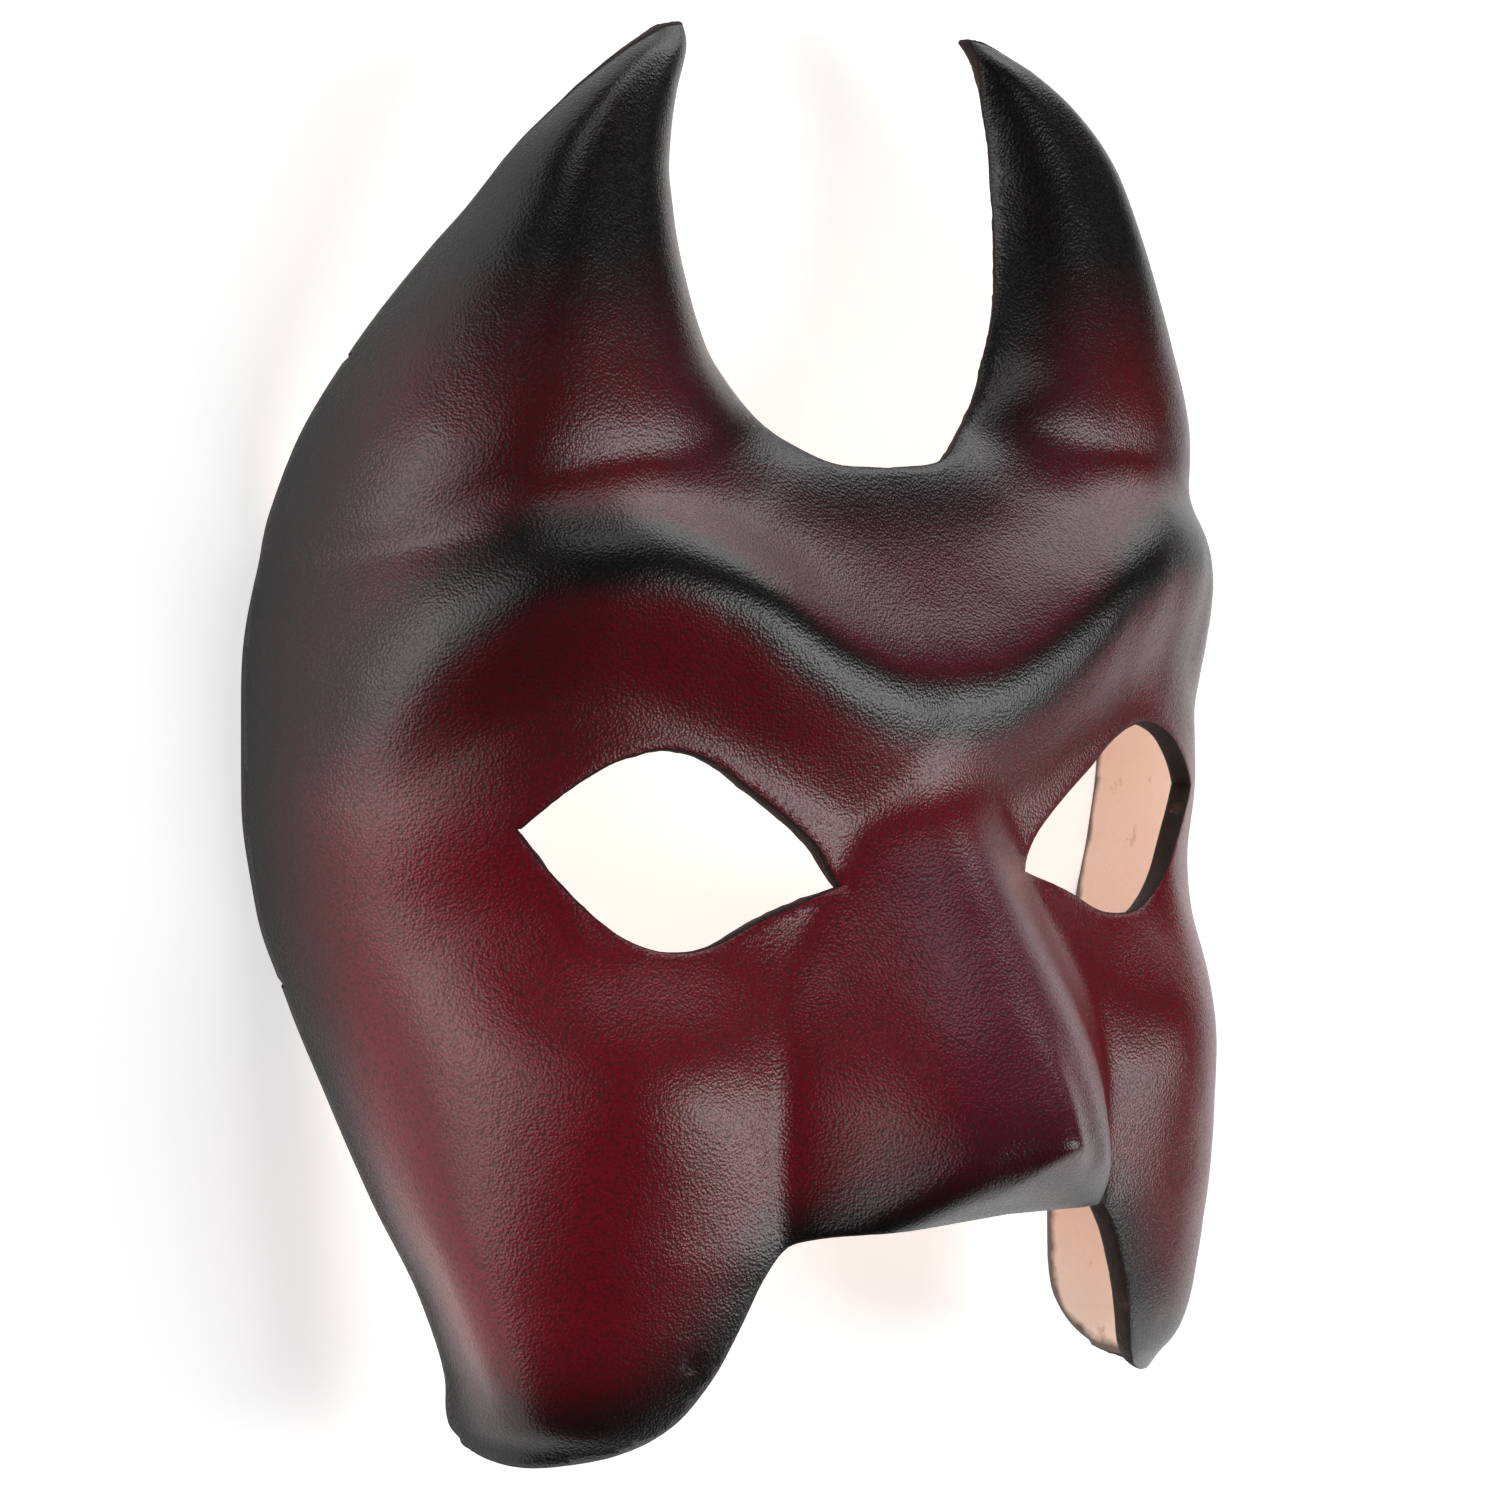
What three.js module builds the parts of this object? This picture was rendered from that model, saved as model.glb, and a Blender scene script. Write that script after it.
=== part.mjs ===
// A horned half mask of formed leather, one sheet, lying face up on its two temple rims.
// Millimetres. X runs to the viewer's right, Y towards the horn tips and Z out of the face.

import * as THREE from "three";

// Driving sizes, measured on the outer face of the leather.
const MASK_HEIGHT = 169.7;    // foot of a lobe to the tip of a horn
const MASK_WIDTH = 147.8;     // temple to temple
const FACE_DEPTH = 41.7;      // temple rim to the face between the eyes
const LEATHER = 2.6;          // thickness of the sheet
const NOSE_REACH = 21.8;      // how far the nose stands proud of the face, less its pinch
const BROW_SWELL = 7.8;       // height of the brow roll at its highest
const CHEEK_SWELL = 2.6;
const SOCKET_SINK = 3.6;      // hollow under the eye
const EYE_LENGTH = 41.5;      // corner to corner of an eye hole, along X
const EYE_OPENING = 24.1;     // lid to lid
const EYE_SPACING = 72.5;     // centre of one hole to the centre of the other
const EYE_LEVEL = -8.65;      // height of the holes' centres
const NOSE_PINCH = 1.6;       // how far the pinched ridge stands up at the tip
const NOSE_TIP_BLUNT = 1.2;   // rounding of the edge under the tip
const NOSE_SIDE_ROUND = 4.5;  // extra rounding of that edge at the sides
const REST_LENGTH = 32;       // straight stretch of each temple rim that the mask lies on
const CELL = 3.2;             // length of a mesh facet

// The form is drawn on a head of these sizes, and the profiles below are in its millimetres.
const DRAWN = { height: 169.7, width: 147.8, depth: 41.7, nose: 21.8, bridge: 33.5 };
const TALL = MASK_HEIGHT / DRAWN.height;
const WIDE = MASK_WIDTH / DRAWN.width;
const DEEP = FACE_DEPTH / DRAWN.depth;
const PROUD = NOSE_REACH / DRAWN.nose;

// A smooth curve through [height, value] pairs, held level beyond its ends.
function profile(...points) {
  const slope = [];
  for (let i = 0; i + 1 < points.length; i++) {
    slope.push((points[i + 1][1] - points[i][1]) / (points[i + 1][0] - points[i][0]));
  }
  const lean = points.map((_, i) => {
    if (i === 0) return slope[0];
    if (i === points.length - 1) return slope[i - 1];
    const before = slope[i - 1];
    const after = slope[i];
    return before * after <= 0 ? 0 : (2 * before * after) / (before + after);
  });
  return (at) => {
    const last = points.length - 1;
    const here = Math.min(Math.max(at, points[0][0]), points[last][0]);
    let i = 0;
    while (i < last - 1 && here >= points[i + 1][0]) i += 1;
    const run = points[i + 1][0] - points[i][0];
    const t = (here - points[i][0]) / run;
    const from = points[i][1] * (1 + 2 * t) * (1 - t) ** 2 + lean[i] * run * t * (1 - t) ** 2;
    const to = points[i + 1][1] * t * t * (3 - 2 * t) + lean[i + 1] * run * t * t * (t - 1);
    return from + to;
  };
}

const clamp01 = (t) => Math.min(Math.max(t, 0), 1);

function ease(t) {
  const s = clamp01(t);
  return s * s * (3 - 2 * s);
}

// The higher of two surfaces, with the valley between them rounded over a width.
function blendHigh(a, b, width) {
  const h = clamp01(0.5 + (0.5 * (a - b)) / width);
  return b * (1 - h) + a * h + width * h * (1 - h);
}

const blendLow = (a, b, width) => -blendHigh(-a, -b, width);

// Head form: each level is a rounded arch, given by its half width, the depth of its
// centre, the depth of its front and how square its shoulders are.
const halfWidth = profile([-80, 63], [-71.7, 63], [-63, 63.8], [-51, 65.6], [-39, 67], [-27, 69.2],
  [-15.5, 72], [-3, 73.9], [10, 73.9], [26, 72], [37.8, 69.3], [49.5, 63.9], [61.4, 56.4],
  [66, 53.2], [73, 48.7], [79, 42.8], [85, 34.3], [88.5, 27]);
const archCentre = profile([-85, -10], [-55, -14], [-20, -22], [10, -24], [35, -22], [60, -12]);
const archFront = profile([-85, 23], [-80, 28], [-75, 31.5], [-69, 33.8], [-61, 35.2], [-55, 35.8],
  [-40, 35.5], [-20, 33.5], [-8, 33], [6, 32.4], [20, 30.4], [28, 28], [35.5, 25], [42, 19], [50, 8],
  [60, -12]);
const shoulder = profile([-70, 4], [-40, 3.8], [-20, 3.4], [0, 3], [30, 2.9], [60, 2.6]);

// The lower wall leans in towards its rim over the last stretch of its depth.
const wallTuck = profile([-85, 5.5], [-78.6, 7.4], [-71.7, 10], [-63, 9.2], [-51, 6.6], [-39, 3.6],
  [-27, 1.4], [-15, 0.2], [0, 0]);
const TUCK_DEPTH = 22;

// Depth at which the side rim is cut, from the foot of a lobe to the horn tip.
const REST_CENTRE = -2;
const REST_DEPTH = -8.2;
const sideRim = profile([-78.6, 9], [-77, 6.5], [-75, 5], [-71.7, 3.7], [-63, 1.3], [-51, -2.4],
  [-39, -5], [-27, -7.2], [REST_CENTRE - REST_LENGTH / TALL / 2, REST_DEPTH],
  [REST_CENTRE + REST_LENGTH / TALL / 2, REST_DEPTH], [26, -7], [37.8, -4], [49.5, 0.3],
  [61.4, 5.8], [66, 8.4], [73, 11.8], [79, 14.2], [85, 15.2], [88.5, 14.6]);

// Horn: an arch over the line of its crest, with its own reach inwards and squareness.
const hornLine = profile([20, 40], [30, 37], [41, 36.5], [50, 38], [60, 38.6], [70, 37.6], [75, 36],
  [80, 33.4], [85, 29], [88.5, 25.2]);
const hornCrest = profile([20, 18], [28, 22.5], [35, 25], [41, 25.6], [50, 24.4], [60, 22.8],
  [70, 21.2], [80, 19.2], [85, 17.4], [88.5, 14.6]);
const hornCentre = profile([20, -22], [33, -19], [41, -15], [50, -10], [60, -4], [68, 1], [80, 8],
  [88.5, 12]);
const hornInward = profile([20, 48], [35, 42], [41, 36], [50, 25], [60, 19.5], [68, 15.5], [80, 9.8],
  [88.5, 4]);
const hornSquare = profile([20, 2.8], [50, 2.9], [60, 3.2], [68, 3.7], [80, 4], [88, 3]);
const HORN_ROOT = 18;
const HORN_SUNK = 14;          // how far the arch lies below the head form at its root
const HORN_RISE = 12;          // height over which it comes up
const HORN_VALLEY = 5;

// Brow roll: the height of its line and its share of BROW_SWELL, from the centre outwards.
const browLine = profile([0, 9.5], [8, 10.2], [16, 13.2], [26, 18.6], [36, 23.6], [46, 26.2],
  [54, 26], [62, 22], [68, 15.5], [73, 4]);
const browShare = profile([0, 0.56], [16, 0.67], [30, 0.87], [46, 1], [56, 0.92], [64, 0.64],
  [70, 0.28], [75, 0]);
const BROW_FADE = 10;
const BROW_FALL = 20;

// Hollow under the eye, from the centre outwards, and the swell of the cheek.
const socketShare = profile([0, 0], [20, 0.28], [34, 0.94], [42, 1], [50, 0.72], [58, 0.83],
  [68, 0.55], [75, 0]);
const SOCKET_LINE = -17;
const SOCKET_FADE = 10;
const CHEEK = { across: 45, up: -36, fade: 14 };

// Nose: the depth of its ridge and how tightly the ridge is rounded at each height, and
// the slope that cuts it off under the tip.
const noseRidge = profile([-56, 57.5], [-45.5, 55.9], [-41.5, 54.8], [-37, 53], [-31, 50.3],
  [-25, 47], [-19.5, 43.9], [-12, 39.6], [-4, 33.8], [4, 29], [14, 18]);
const noseRadius = profile([-56, 13], [-45, 14.6], [-36, 16.2], [-28, 15.2], [-20, 12.5], [-12, 9.5],
  [4, 8]);
const noseUnder = profile([-56, 42], [-53.4, 45.6], [-49.3, 51.7], [-45.2, 56.6], [-40, 62.5],
  [-30, 74], [-20, 86]);
const NOSE_VALLEY = 8;
const NOSE_UNDER_REACH = 24;
const NOSE_SIDE = 8;
const PINCH_TOP = -28;
const PINCH_RUN = 14;
const PINCH_WIDTH = 3.2;

// Half of the front outline, in drawn millimetres: crotch between the horns to a horn
// tip, then the lobe from the foot of the side rim round to the middle under the nose.
const HORN_TIP = [24.2, 88.5];
const CROTCH = [0, 35.5];
const UNDER_NOSE = [0, -53.4];
const HORN_EDGE = [CROTCH, [9, 36.2], [13.3, 38.2], [18, 41.8], [22.1, 47.4], [25, 53.9],
  [26.5, 61.4], [27, 68.3], [26.8, 74.5], [25.8, 80], [24.7, 85], HORN_TIP];
const LOBE_FOOT = -78.6;
const LOBE_EDGE = [[62.4, LOBE_FOOT], [60.8, -80.2], [57.5, -81], [51.5, -80.7], [45, -79.6],
  [39.5, -77], [36, -72], [32.5, -64.8], [29.4, -58.6], [26.6, -55.5], [23.4, -54.6],
  [18, -54.1], [12, -53.9], [7.5, -53.7], UNDER_NOSE];

// Eye hole, as shares of its length and opening about its centre, inner corner first.
const EYE_UPPER = [[-0.5, -0.22], [-0.435, -0.035], [-0.32, 0.13], [-0.19, 0.28], [-0.054, 0.434],
  [0.09, 0.5], [0.26, 0.434], [0.39, 0.29], [0.5, 0.12]];
const EYE_LOWER = [[0.5, 0.12], [0.41, -0.093], [0.305, -0.29], [0.19, -0.434], [0.073, -0.5],
  [-0.078, -0.483], [-0.247, -0.367], [-0.5, -0.22]];

// Drawn half width and depth share of the head form at a turn about it and a height.
function arch(turn, up) {
  const power = shoulder(up);
  const side = Math.abs(Math.sin(turn));
  const front = Math.abs(Math.cos(turn));
  const reach = (side ** power + front ** power) ** (1 / power);
  const across = turn < Math.PI / 2 ? (halfWidth(up) * side) / reach : halfWidth(up);
  return { across, out: Math.cos(turn) / reach };
}

// The turn at which the head form has a given distance across.
function turnAt(across, up) {
  const power = shoulder(up);
  const share = Math.min(across / halfWidth(up), 0.99999);
  return Math.atan(share / (1 - share ** power) ** (1 / power));
}

// A point of the outer face in real millimetres, on the right half. The inner face of
// the nose is worked rounder than the outer one, by the given softness.
function facePoint(turn, up, softness = 0) {
  const { across, out } = arch(turn, up);
  const centre = archCentre(up);
  let depth = (centre + (archFront(up) - centre) * out) * DEEP;

  const overBrow = up - browLine(across);
  const browShape = overBrow > 0 ? Math.exp(-((overBrow / BROW_FADE) ** 2)) : 1 - ease(-overBrow / BROW_FALL);
  depth += BROW_SWELL * browShare(across) * browShape;
  depth -= SOCKET_SINK * socketShare(across) * Math.exp(-(((up - SOCKET_LINE) / SOCKET_FADE) ** 2));

  if (up > HORN_ROOT) {
    const line = hornLine(up);
    const foot = hornCentre(up);
    const outward = across > line;
    const reach = outward ? halfWidth(up) - line : hornInward(up);
    const power = outward ? hornSquare(up) : 2;
    const t = clamp01(Math.abs(across - line) / reach);
    const sunk = HORN_SUNK * (1 - ease((up - HORN_ROOT) / HORN_RISE));
    const horn = foot + (hornCrest(up) - foot) * (1 - t ** power) ** (1 / power) - sunk;
    depth = blendHigh(depth, horn * DEEP, HORN_VALLEY);
  }

  const cheekOff = ((across - CHEEK.across) / CHEEK.fade) ** 2 + ((up - CHEEK.up) / CHEEK.fade) ** 2;
  depth += CHEEK_SWELL * Math.exp(-cheekOff);

  const proud = (drawn) => DRAWN.bridge * DEEP + (drawn - DRAWN.bridge) * PROUD;
  const pinch = (NOSE_PINCH / (1 + softness)) * Math.exp(-((across / PINCH_WIDTH) ** 2));
  const ridge = noseRidge(up) - across ** 2 / (2 * (noseRadius(up) + softness));
  depth = blendHigh(depth, proud(ridge) + pinch * ease((PINCH_TOP - up) / PINCH_RUN), NOSE_VALLEY);
  if (across < NOSE_UNDER_REACH) {
    const rounding = NOSE_TIP_BLUNT + NOSE_SIDE_ROUND * ease(across / NOSE_SIDE) + softness;
    depth = blendLow(depth, proud(noseUnder(up)), rounding);
  }

  const rim = sideRim(up) * DEEP;
  const tuck = wallTuck(up) * ease((rim + TUCK_DEPTH - depth) / TUCK_DEPTH);
  return new THREE.Vector3((across - tuck) * WIDE, up * TALL, depth);
}

// The turn at which the wall has come down to the depth of the side rim.
const WALL_START = 0.8;
const WALL_END = 2;

function rimTurn(up) {
  let near = WALL_START;
  let far = WALL_END;
  for (let i = 0; i < 40; i++) {
    const middle = (near + far) / 2;
    if (facePoint(middle, up).z > sideRim(up) * DEEP) near = middle;
    else far = middle;
  }
  return near;
}

// A smooth line through flat points, as [turn, height] pairs.
function drawnLine(points, steps = 6) {
  const curve = new THREE.CatmullRomCurve3(points.map(([x, y]) => new THREE.Vector3(x, y, 0)));
  return curve.getPoints(steps * (points.length - 1)).map((p) => [turnAt(p.x, p.y), p.y]);
}

const SIDE_STEPS = 240;

function outlineRing() {
  const side = [];
  for (let i = 1; i <= SIDE_STEPS; i++) {
    const up = HORN_TIP[1] + ((LOBE_FOOT - HORN_TIP[1]) * i) / SIDE_STEPS;
    side.push([rimTurn(up), up]);
  }
  const lobe = drawnLine(LOBE_EDGE).filter(([turn]) => turn < side[SIDE_STEPS - 1][0]);
  return [...drawnLine(HORN_EDGE), ...side, ...lobe];
}

function eyeRing() {
  const place = ([along, lid]) => [
    (EYE_SPACING / 2 + along * EYE_LENGTH) / WIDE,
    (EYE_LEVEL + lid * EYE_OPENING) / TALL,
  ];
  const upper = drawnLine(EYE_UPPER.map(place));
  return { ring: [...upper, ...drawnLine(EYE_LOWER.map(place)).slice(1)], outer: upper[upper.length - 1] };
}

// The sheet is meshed as a flat pattern, from its foot up and from the centre line to a
// turn past the rim. A turn counts as its arc length.
const ARC = 62;
const PATTERN_FOOT = -84;
const PATTERN_TURN = 1.75;
const SMALLEST_SHARE = 0.06;   // of a cell, below which a triangle is dropped
const outline = outlineRing();
const eye = eyeRing();
const cutLines = [outline, eye.ring];
const outlineClosed = [[-0.1, CROTCH[1]], ...outline, [-0.1, UNDER_NOSE[1]]];

function inLeather(turn, up) {
  let inside = false;
  for (const ring of [outlineClosed, eye.ring]) {
    for (let i = 0, j = ring.length - 1; i < ring.length; j = i++) {
      const [turnI, upI] = ring[i];
      const [turnJ, upJ] = ring[j];
      const crosses = upI > up !== upJ > up;
      if (crosses && turn < ((turnJ - turnI) * (up - upI)) / (upJ - upI) + turnI) inside = !inside;
    }
  }
  return inside;
}

// Nearest place on the cut lines, and how far it is over the flat pattern.
function nearestCut(turn, up) {
  let best = { away: Infinity };
  for (const line of cutLines) {
    for (let i = 0; i + 1 < line.length; i++) {
      const alongTurn = (line[i + 1][0] - line[i][0]) * ARC;
      const alongUp = line[i + 1][1] - line[i][1];
      const offTurn = (turn - line[i][0]) * ARC;
      const offUp = up - line[i][1];
      const length = alongTurn ** 2 + alongUp ** 2 || 1;
      const t = clamp01((offTurn * alongTurn + offUp * alongUp) / length);
      const away = Math.hypot(offTurn - t * alongTurn, offUp - t * alongUp);
      if (away < best.away) {
        best = { away, turn: line[i][0] + (t * alongTurn) / ARC, up: line[i][1] + t * alongUp };
      }
    }
  }
  return best;
}

// A lattice over the right half, whose nodes beside a cut are moved onto it.
function flatMesh() {
  const columns = Math.ceil((PATTERN_TURN * ARC) / CELL);
  const rows = Math.ceil((HORN_TIP[1] - PATTERN_FOOT) / CELL);
  const nodes = [];
  for (let row = 0; row <= rows; row++) {
    for (let column = 0; column <= columns; column++) {
      const turn = (column * CELL) / ARC;
      const up = PATTERN_FOOT + row * CELL;
      nodes.push({ turn, up, column, inside: inLeather(turn, up), cut: nearestCut(turn, up), fixed: false });
    }
  }
  const at = (row, column) => row * (columns + 1) + column;

  const corners = [CROTCH, UNDER_NOSE].map(([, up]) => ({ turn: 0, up, column: 0 }));
  corners.push({ turn: turnAt(...HORN_TIP), up: HORN_TIP[1] });
  corners.push({ turn: eye.ring[0][0], up: eye.ring[0][1] });
  corners.push({ turn: eye.outer[0], up: eye.outer[1] });
  for (const corner of corners) {
    let nearest = null;
    let gap = Infinity;
    for (const node of nodes) {
      if (corner.column !== undefined && node.column !== corner.column) continue;
      const away = Math.hypot((node.turn - corner.turn) * ARC, node.up - corner.up);
      if (away < gap && !node.fixed) {
        nearest = node;
        gap = away;
      }
    }
    Object.assign(nearest, { turn: corner.turn, up: corner.up, fixed: true });
  }

  // Each cell is two triangles, first cut along one diagonal and then the other in turn.
  const cells = [];
  for (let row = 0; row < rows; row++) {
    for (let column = 0; column < columns; column++) {
      const [a, b] = [at(row, column), at(row, column + 1)];
      const [d, c] = [at(row + 1, column), at(row + 1, column + 1)];
      if ((row + column) % 2) cells.push([[a, b, c], [a, c, d]]);
      else cells.push([[b, d, a], [b, c, d]]);
    }
  }
  const neighbours = nodes.map(() => new Set());
  for (const [from, to] of cells.flat().flatMap(sides)) {
    neighbours[from].add(to);
    neighbours[to].add(from);
  }

  // The nodes nearest to a cut move first, until no lattice line crosses it.
  const order = nodes.map((_, i) => i).sort((i, j) => nodes[i].cut.away - nodes[j].cut.away);
  for (const i of order) {
    const node = nodes[i];
    if (node.fixed || node.column === 0) continue;
    const crossed = [...neighbours[i]].some((j) => !nodes[j].fixed && nodes[j].inside !== node.inside);
    if (crossed) Object.assign(node, { turn: node.cut.turn, up: node.cut.up, fixed: true, onCut: true });
  }

  const isKept = (triangle) => {
    const corner = triangle.map((i) => nodes[i]);
    if (corner.some((node) => !node.fixed && !node.inside)) return false;
    const mean = (key) => (corner[0][key] + corner[1][key] + corner[2][key]) / 3;
    return inLeather(mean("turn"), mean("up")) && isLarge(corner);
  };
  const keptCells = cells.map((cell) => cell.filter(isKept)).filter((cell) => cell.length);
  evenOut(nodes, neighbours, keptCells.flat());
  const kept = keptCells.flatMap((cell) => (cell.length === 2 ? betterCut(nodes, cell) : cell));
  return { nodes, kept };
}

const sides = ([a, b, c]) => [[a, b], [b, c], [c, a]];

// Area over the flat pattern, below zero where the corners run clockwise.
function flatArea([a, b, c]) {
  return (((b.turn - a.turn) * (c.up - a.up) - (c.turn - a.turn) * (b.up - a.up)) * ARC) / 2;
}

const isLarge = (corner) => flatArea(corner) > SMALLEST_SHARE * CELL ** 2;

// Free nodes move to the middle of their neighbours. Nodes on a cut slide along it, and
// those on the centre line stay on that.
const PASSES = 6;

function evenOut(nodes, neighbours, kept) {
  const used = new Set(kept.flat());
  const along = outerEdges(kept);
  for (let pass = 0; pass < PASSES; pass++) {
    for (const i of used) {
      const node = nodes[i];
      if (node.fixed && !node.onCut) continue;
      const around = node.onCut
        ? along.filter((edge) => edge.includes(i)).map(([from, to]) => (from === i ? to : from))
        : [...neighbours[i]].filter((j) => used.has(j) && (node.column > 0 || nodes[j].column === 0));
      const mean = (key) => around.reduce((sum, j) => sum + nodes[j][key], 0) / around.length;
      const turn = node.column > 0 ? (node.turn + mean("turn")) / 2 : 0;
      const up = (node.up + mean("up")) / 2;
      const place = node.onCut ? nearestCut(turn, up) : { turn, up };
      node.turn = place.turn;
      node.up = place.up;
    }
  }
}

// The edges that belong to one triangle only, in that triangle's direction.
function outerEdges(triangles) {
  const edges = new Map();
  for (const [from, to] of triangles.flatMap(sides)) {
    if (edges.has(`${to} ${from}`)) edges.delete(`${to} ${from}`);
    else edges.set(`${from} ${to}`, [from, to]);
  }
  return [...edges.values()];
}

// A whole cell is cut along the diagonal that lies closer to the face.
function betterCut(nodes, [first, second]) {
  const far = first.find((i) => !second.includes(i));
  const opposite = second.find((i) => !first.includes(i));
  const [a, b] = first.slice(first.indexOf(far) + 1).concat(first.slice(0, first.indexOf(far)));
  const away = (i, j) => {
    const [from, to] = [nodes[i], nodes[j]];
    const middle = facePoint(from.turn, from.up).add(facePoint(to.turn, to.up)).multiplyScalar(0.5);
    return middle.distanceTo(facePoint((from.turn + to.turn) / 2, (from.up + to.up) / 2));
  };
  const other = [[far, a, opposite], [far, opposite, b]];
  const sound = other.every((triangle) => isLarge(triangle.map((i) => nodes[i])));
  return sound && away(far, opposite) < away(a, b) ? other : [first, second];
}

// Outward direction of the outer face, taken over a few millimetres each way, so that
// the inner face turns gently where the outer one has a ridge. A turn covers more of the
// face in some places than in others, and the step across allows for it within limits.
const NORMAL_REACH = 3.5;
const LEAST_STRETCH = 0.3;
const MOST_STRETCH = 1.5;

function faceNormal(turn, up, softness) {
  const across = (step) => {
    const from = facePoint(Math.max(turn - step, 0), up, softness);
    return facePoint(turn + step, up, softness).sub(from);
  };
  const step = NORMAL_REACH / ARC;
  const stretch = across(step).length() / (2 * NORMAL_REACH);
  const along = across(step / Math.min(Math.max(stretch, LEAST_STRETCH), MOST_STRETCH));
  const below = facePoint(turn, up - NORMAL_REACH, softness);
  const above = facePoint(turn, up + NORMAL_REACH, softness).sub(below);
  const normal = along.cross(above).normalize();
  if (turn === 0) normal.setX(0).normalize();
  return normal;
}

// The inner face: the leather's thickness behind the outer one. Inside a horn's narrow
// end it lies towards the horn's core. The side rim is cut level, so that the mask lies
// on the whole width of the edge.
const INNER_SOFTNESS = 1.6;
const HORN_NARROWS = 64;
const HORN_NARROW_RUN = 10;
const HORN_CORE = 10;          // how far the core lies under the crest
const LEVEL_CUT_TOP = 62;
const LEVEL_CUT_FADE = 20;
const ON_RIM = 0.01;

function innerPoint(node) {
  const { turn, up } = node;
  const onSideRim = node.onCut && turn > WALL_START && Math.abs(turn - rimTurn(up)) < ON_RIM;
  const outer = facePoint(turn, up, onSideRim ? 0 : INNER_SOFTNESS);
  const normal = faceNormal(turn, up, INNER_SOFTNESS);
  if (onSideRim) {
    const level = 1 - ease((up - LEVEL_CUT_TOP) / LEVEL_CUT_FADE);
    normal.setZ(normal.z * (1 - level)).normalize();
  }
  if (up > HORN_NARROWS) {
    const core = new THREE.Vector3(hornLine(up) * WIDE, up * TALL, (hornCrest(up) - HORN_CORE) * DEEP);
    const fromCore = outer.clone().sub(core).normalize();
    normal.lerp(fromCore, ease((up - HORN_NARROWS) / HORN_NARROW_RUN)).normalize();
  }
  return outer.addScaledVector(normal, -LEATHER);
}

function leatherGeometry() {
  const { nodes, kept } = flatMesh();
  const points = [];
  const name = new Map();
  const keep = (key, point) => {
    if (!name.has(key)) {
      name.set(key, points.length);
      points.push(point);
    }
    return name.get(key);
  };
  const faces = [];
  for (const side of [1, -1]) {
    const corner = (i, inner) => {
      const node = nodes[i];
      const half = node.column === 0 ? 0 : side;
      const point = inner ? innerPoint(node) : facePoint(node.turn, node.up);
      if (half === 0) point.setX(0);
      return keep(`${i} ${half} ${inner}`, point.setX(point.x * side));
    };
    const turned = side > 0 ? kept : kept.map(([a, b, c]) => [a, c, b]);
    for (const [a, b, c] of turned) {
      faces.push([corner(a, false), corner(b, false), corner(c, false)]);
      faces.push([corner(a, true), corner(c, true), corner(b, true)]);
    }
    for (const [from, to] of outerEdges(turned)) {
      if (nodes[from].column === 0 && nodes[to].column === 0) continue;
      faces.push([corner(to, false), corner(from, false), corner(from, true)]);
      faces.push([corner(to, false), corner(from, true), corner(to, true)]);
    }
  }
  const geometry = new THREE.BufferGeometry();
  geometry.setAttribute("position", new THREE.Float32BufferAttribute(points.flatMap((p) => p.toArray()), 3));
  geometry.setIndex(faces.flat());
  return geometry;
}

// The mask is set down with its rims on the ground and the middle of its height at Y = 0.
const geometry = leatherGeometry();
geometry.computeBoundingBox();
const { min, max } = geometry.boundingBox;
geometry.translate(0, -(min.y + max.y) / 2, -min.z);
geometry.computeVertexNormals();

const leather = new THREE.MeshStandardMaterial({ color: 0x5c1a20, roughness: 0.5, metalness: 0 });
const sheet = new THREE.Mesh(geometry, leather);
sheet.name = "leather_mask";

const mask = new THREE.Group();
mask.add(sheet);

export default mask;
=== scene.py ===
"""A horned half mask of formed and airbrushed leather, lying face up on its temple rims."""

import math

import bpy
import numpy as np
from mathutils import Matrix, Vector


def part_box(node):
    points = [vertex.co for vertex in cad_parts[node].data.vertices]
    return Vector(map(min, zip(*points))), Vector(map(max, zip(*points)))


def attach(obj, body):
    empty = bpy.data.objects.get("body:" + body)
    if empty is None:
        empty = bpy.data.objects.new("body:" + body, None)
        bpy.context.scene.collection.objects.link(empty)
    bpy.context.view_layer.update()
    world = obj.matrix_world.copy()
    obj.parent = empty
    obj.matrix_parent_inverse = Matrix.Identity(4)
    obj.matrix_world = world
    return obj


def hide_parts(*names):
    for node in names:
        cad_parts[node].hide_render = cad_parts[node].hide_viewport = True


bl_info = {
    "name": "Horned Leather Mask",
    "version": (1, 0, 0),
    "blender": (4, 5, 0),
    "location": "3D View > Sidebar > Leather Mask",
    "description": "Builds a horned half mask of formed leather, and a studio to show it in",
    "category": "Add Mesh",
}

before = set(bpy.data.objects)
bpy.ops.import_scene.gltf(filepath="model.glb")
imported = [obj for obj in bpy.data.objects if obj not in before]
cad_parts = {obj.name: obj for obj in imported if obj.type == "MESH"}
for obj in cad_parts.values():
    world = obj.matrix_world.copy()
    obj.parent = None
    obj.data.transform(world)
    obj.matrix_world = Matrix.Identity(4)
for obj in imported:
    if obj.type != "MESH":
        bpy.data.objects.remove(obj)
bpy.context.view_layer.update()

MM = 0.001

# Main sizes of the mask in millimetres, as in the part's source.
FACE_DEPTH = 41.7
BROW_SWELL = 7.8
CHEEK_SWELL = 2.6
SOCKET_SINK = 3.6
EYE_LENGTH = 41.5
EYE_OPENING = 24.1
EYE_SPACING = 72.5
EYE_LEVEL = -8.65
NOSE_PINCH = 1.6
NOSE_TIP_BLUNT = 1.2
NOSE_SIDE_ROUND = 4.5
REST_LENGTH = 32


def ease(t):
    s = np.clip(t, 0, 1)
    return s * s * (3 - 2 * s)


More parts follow.
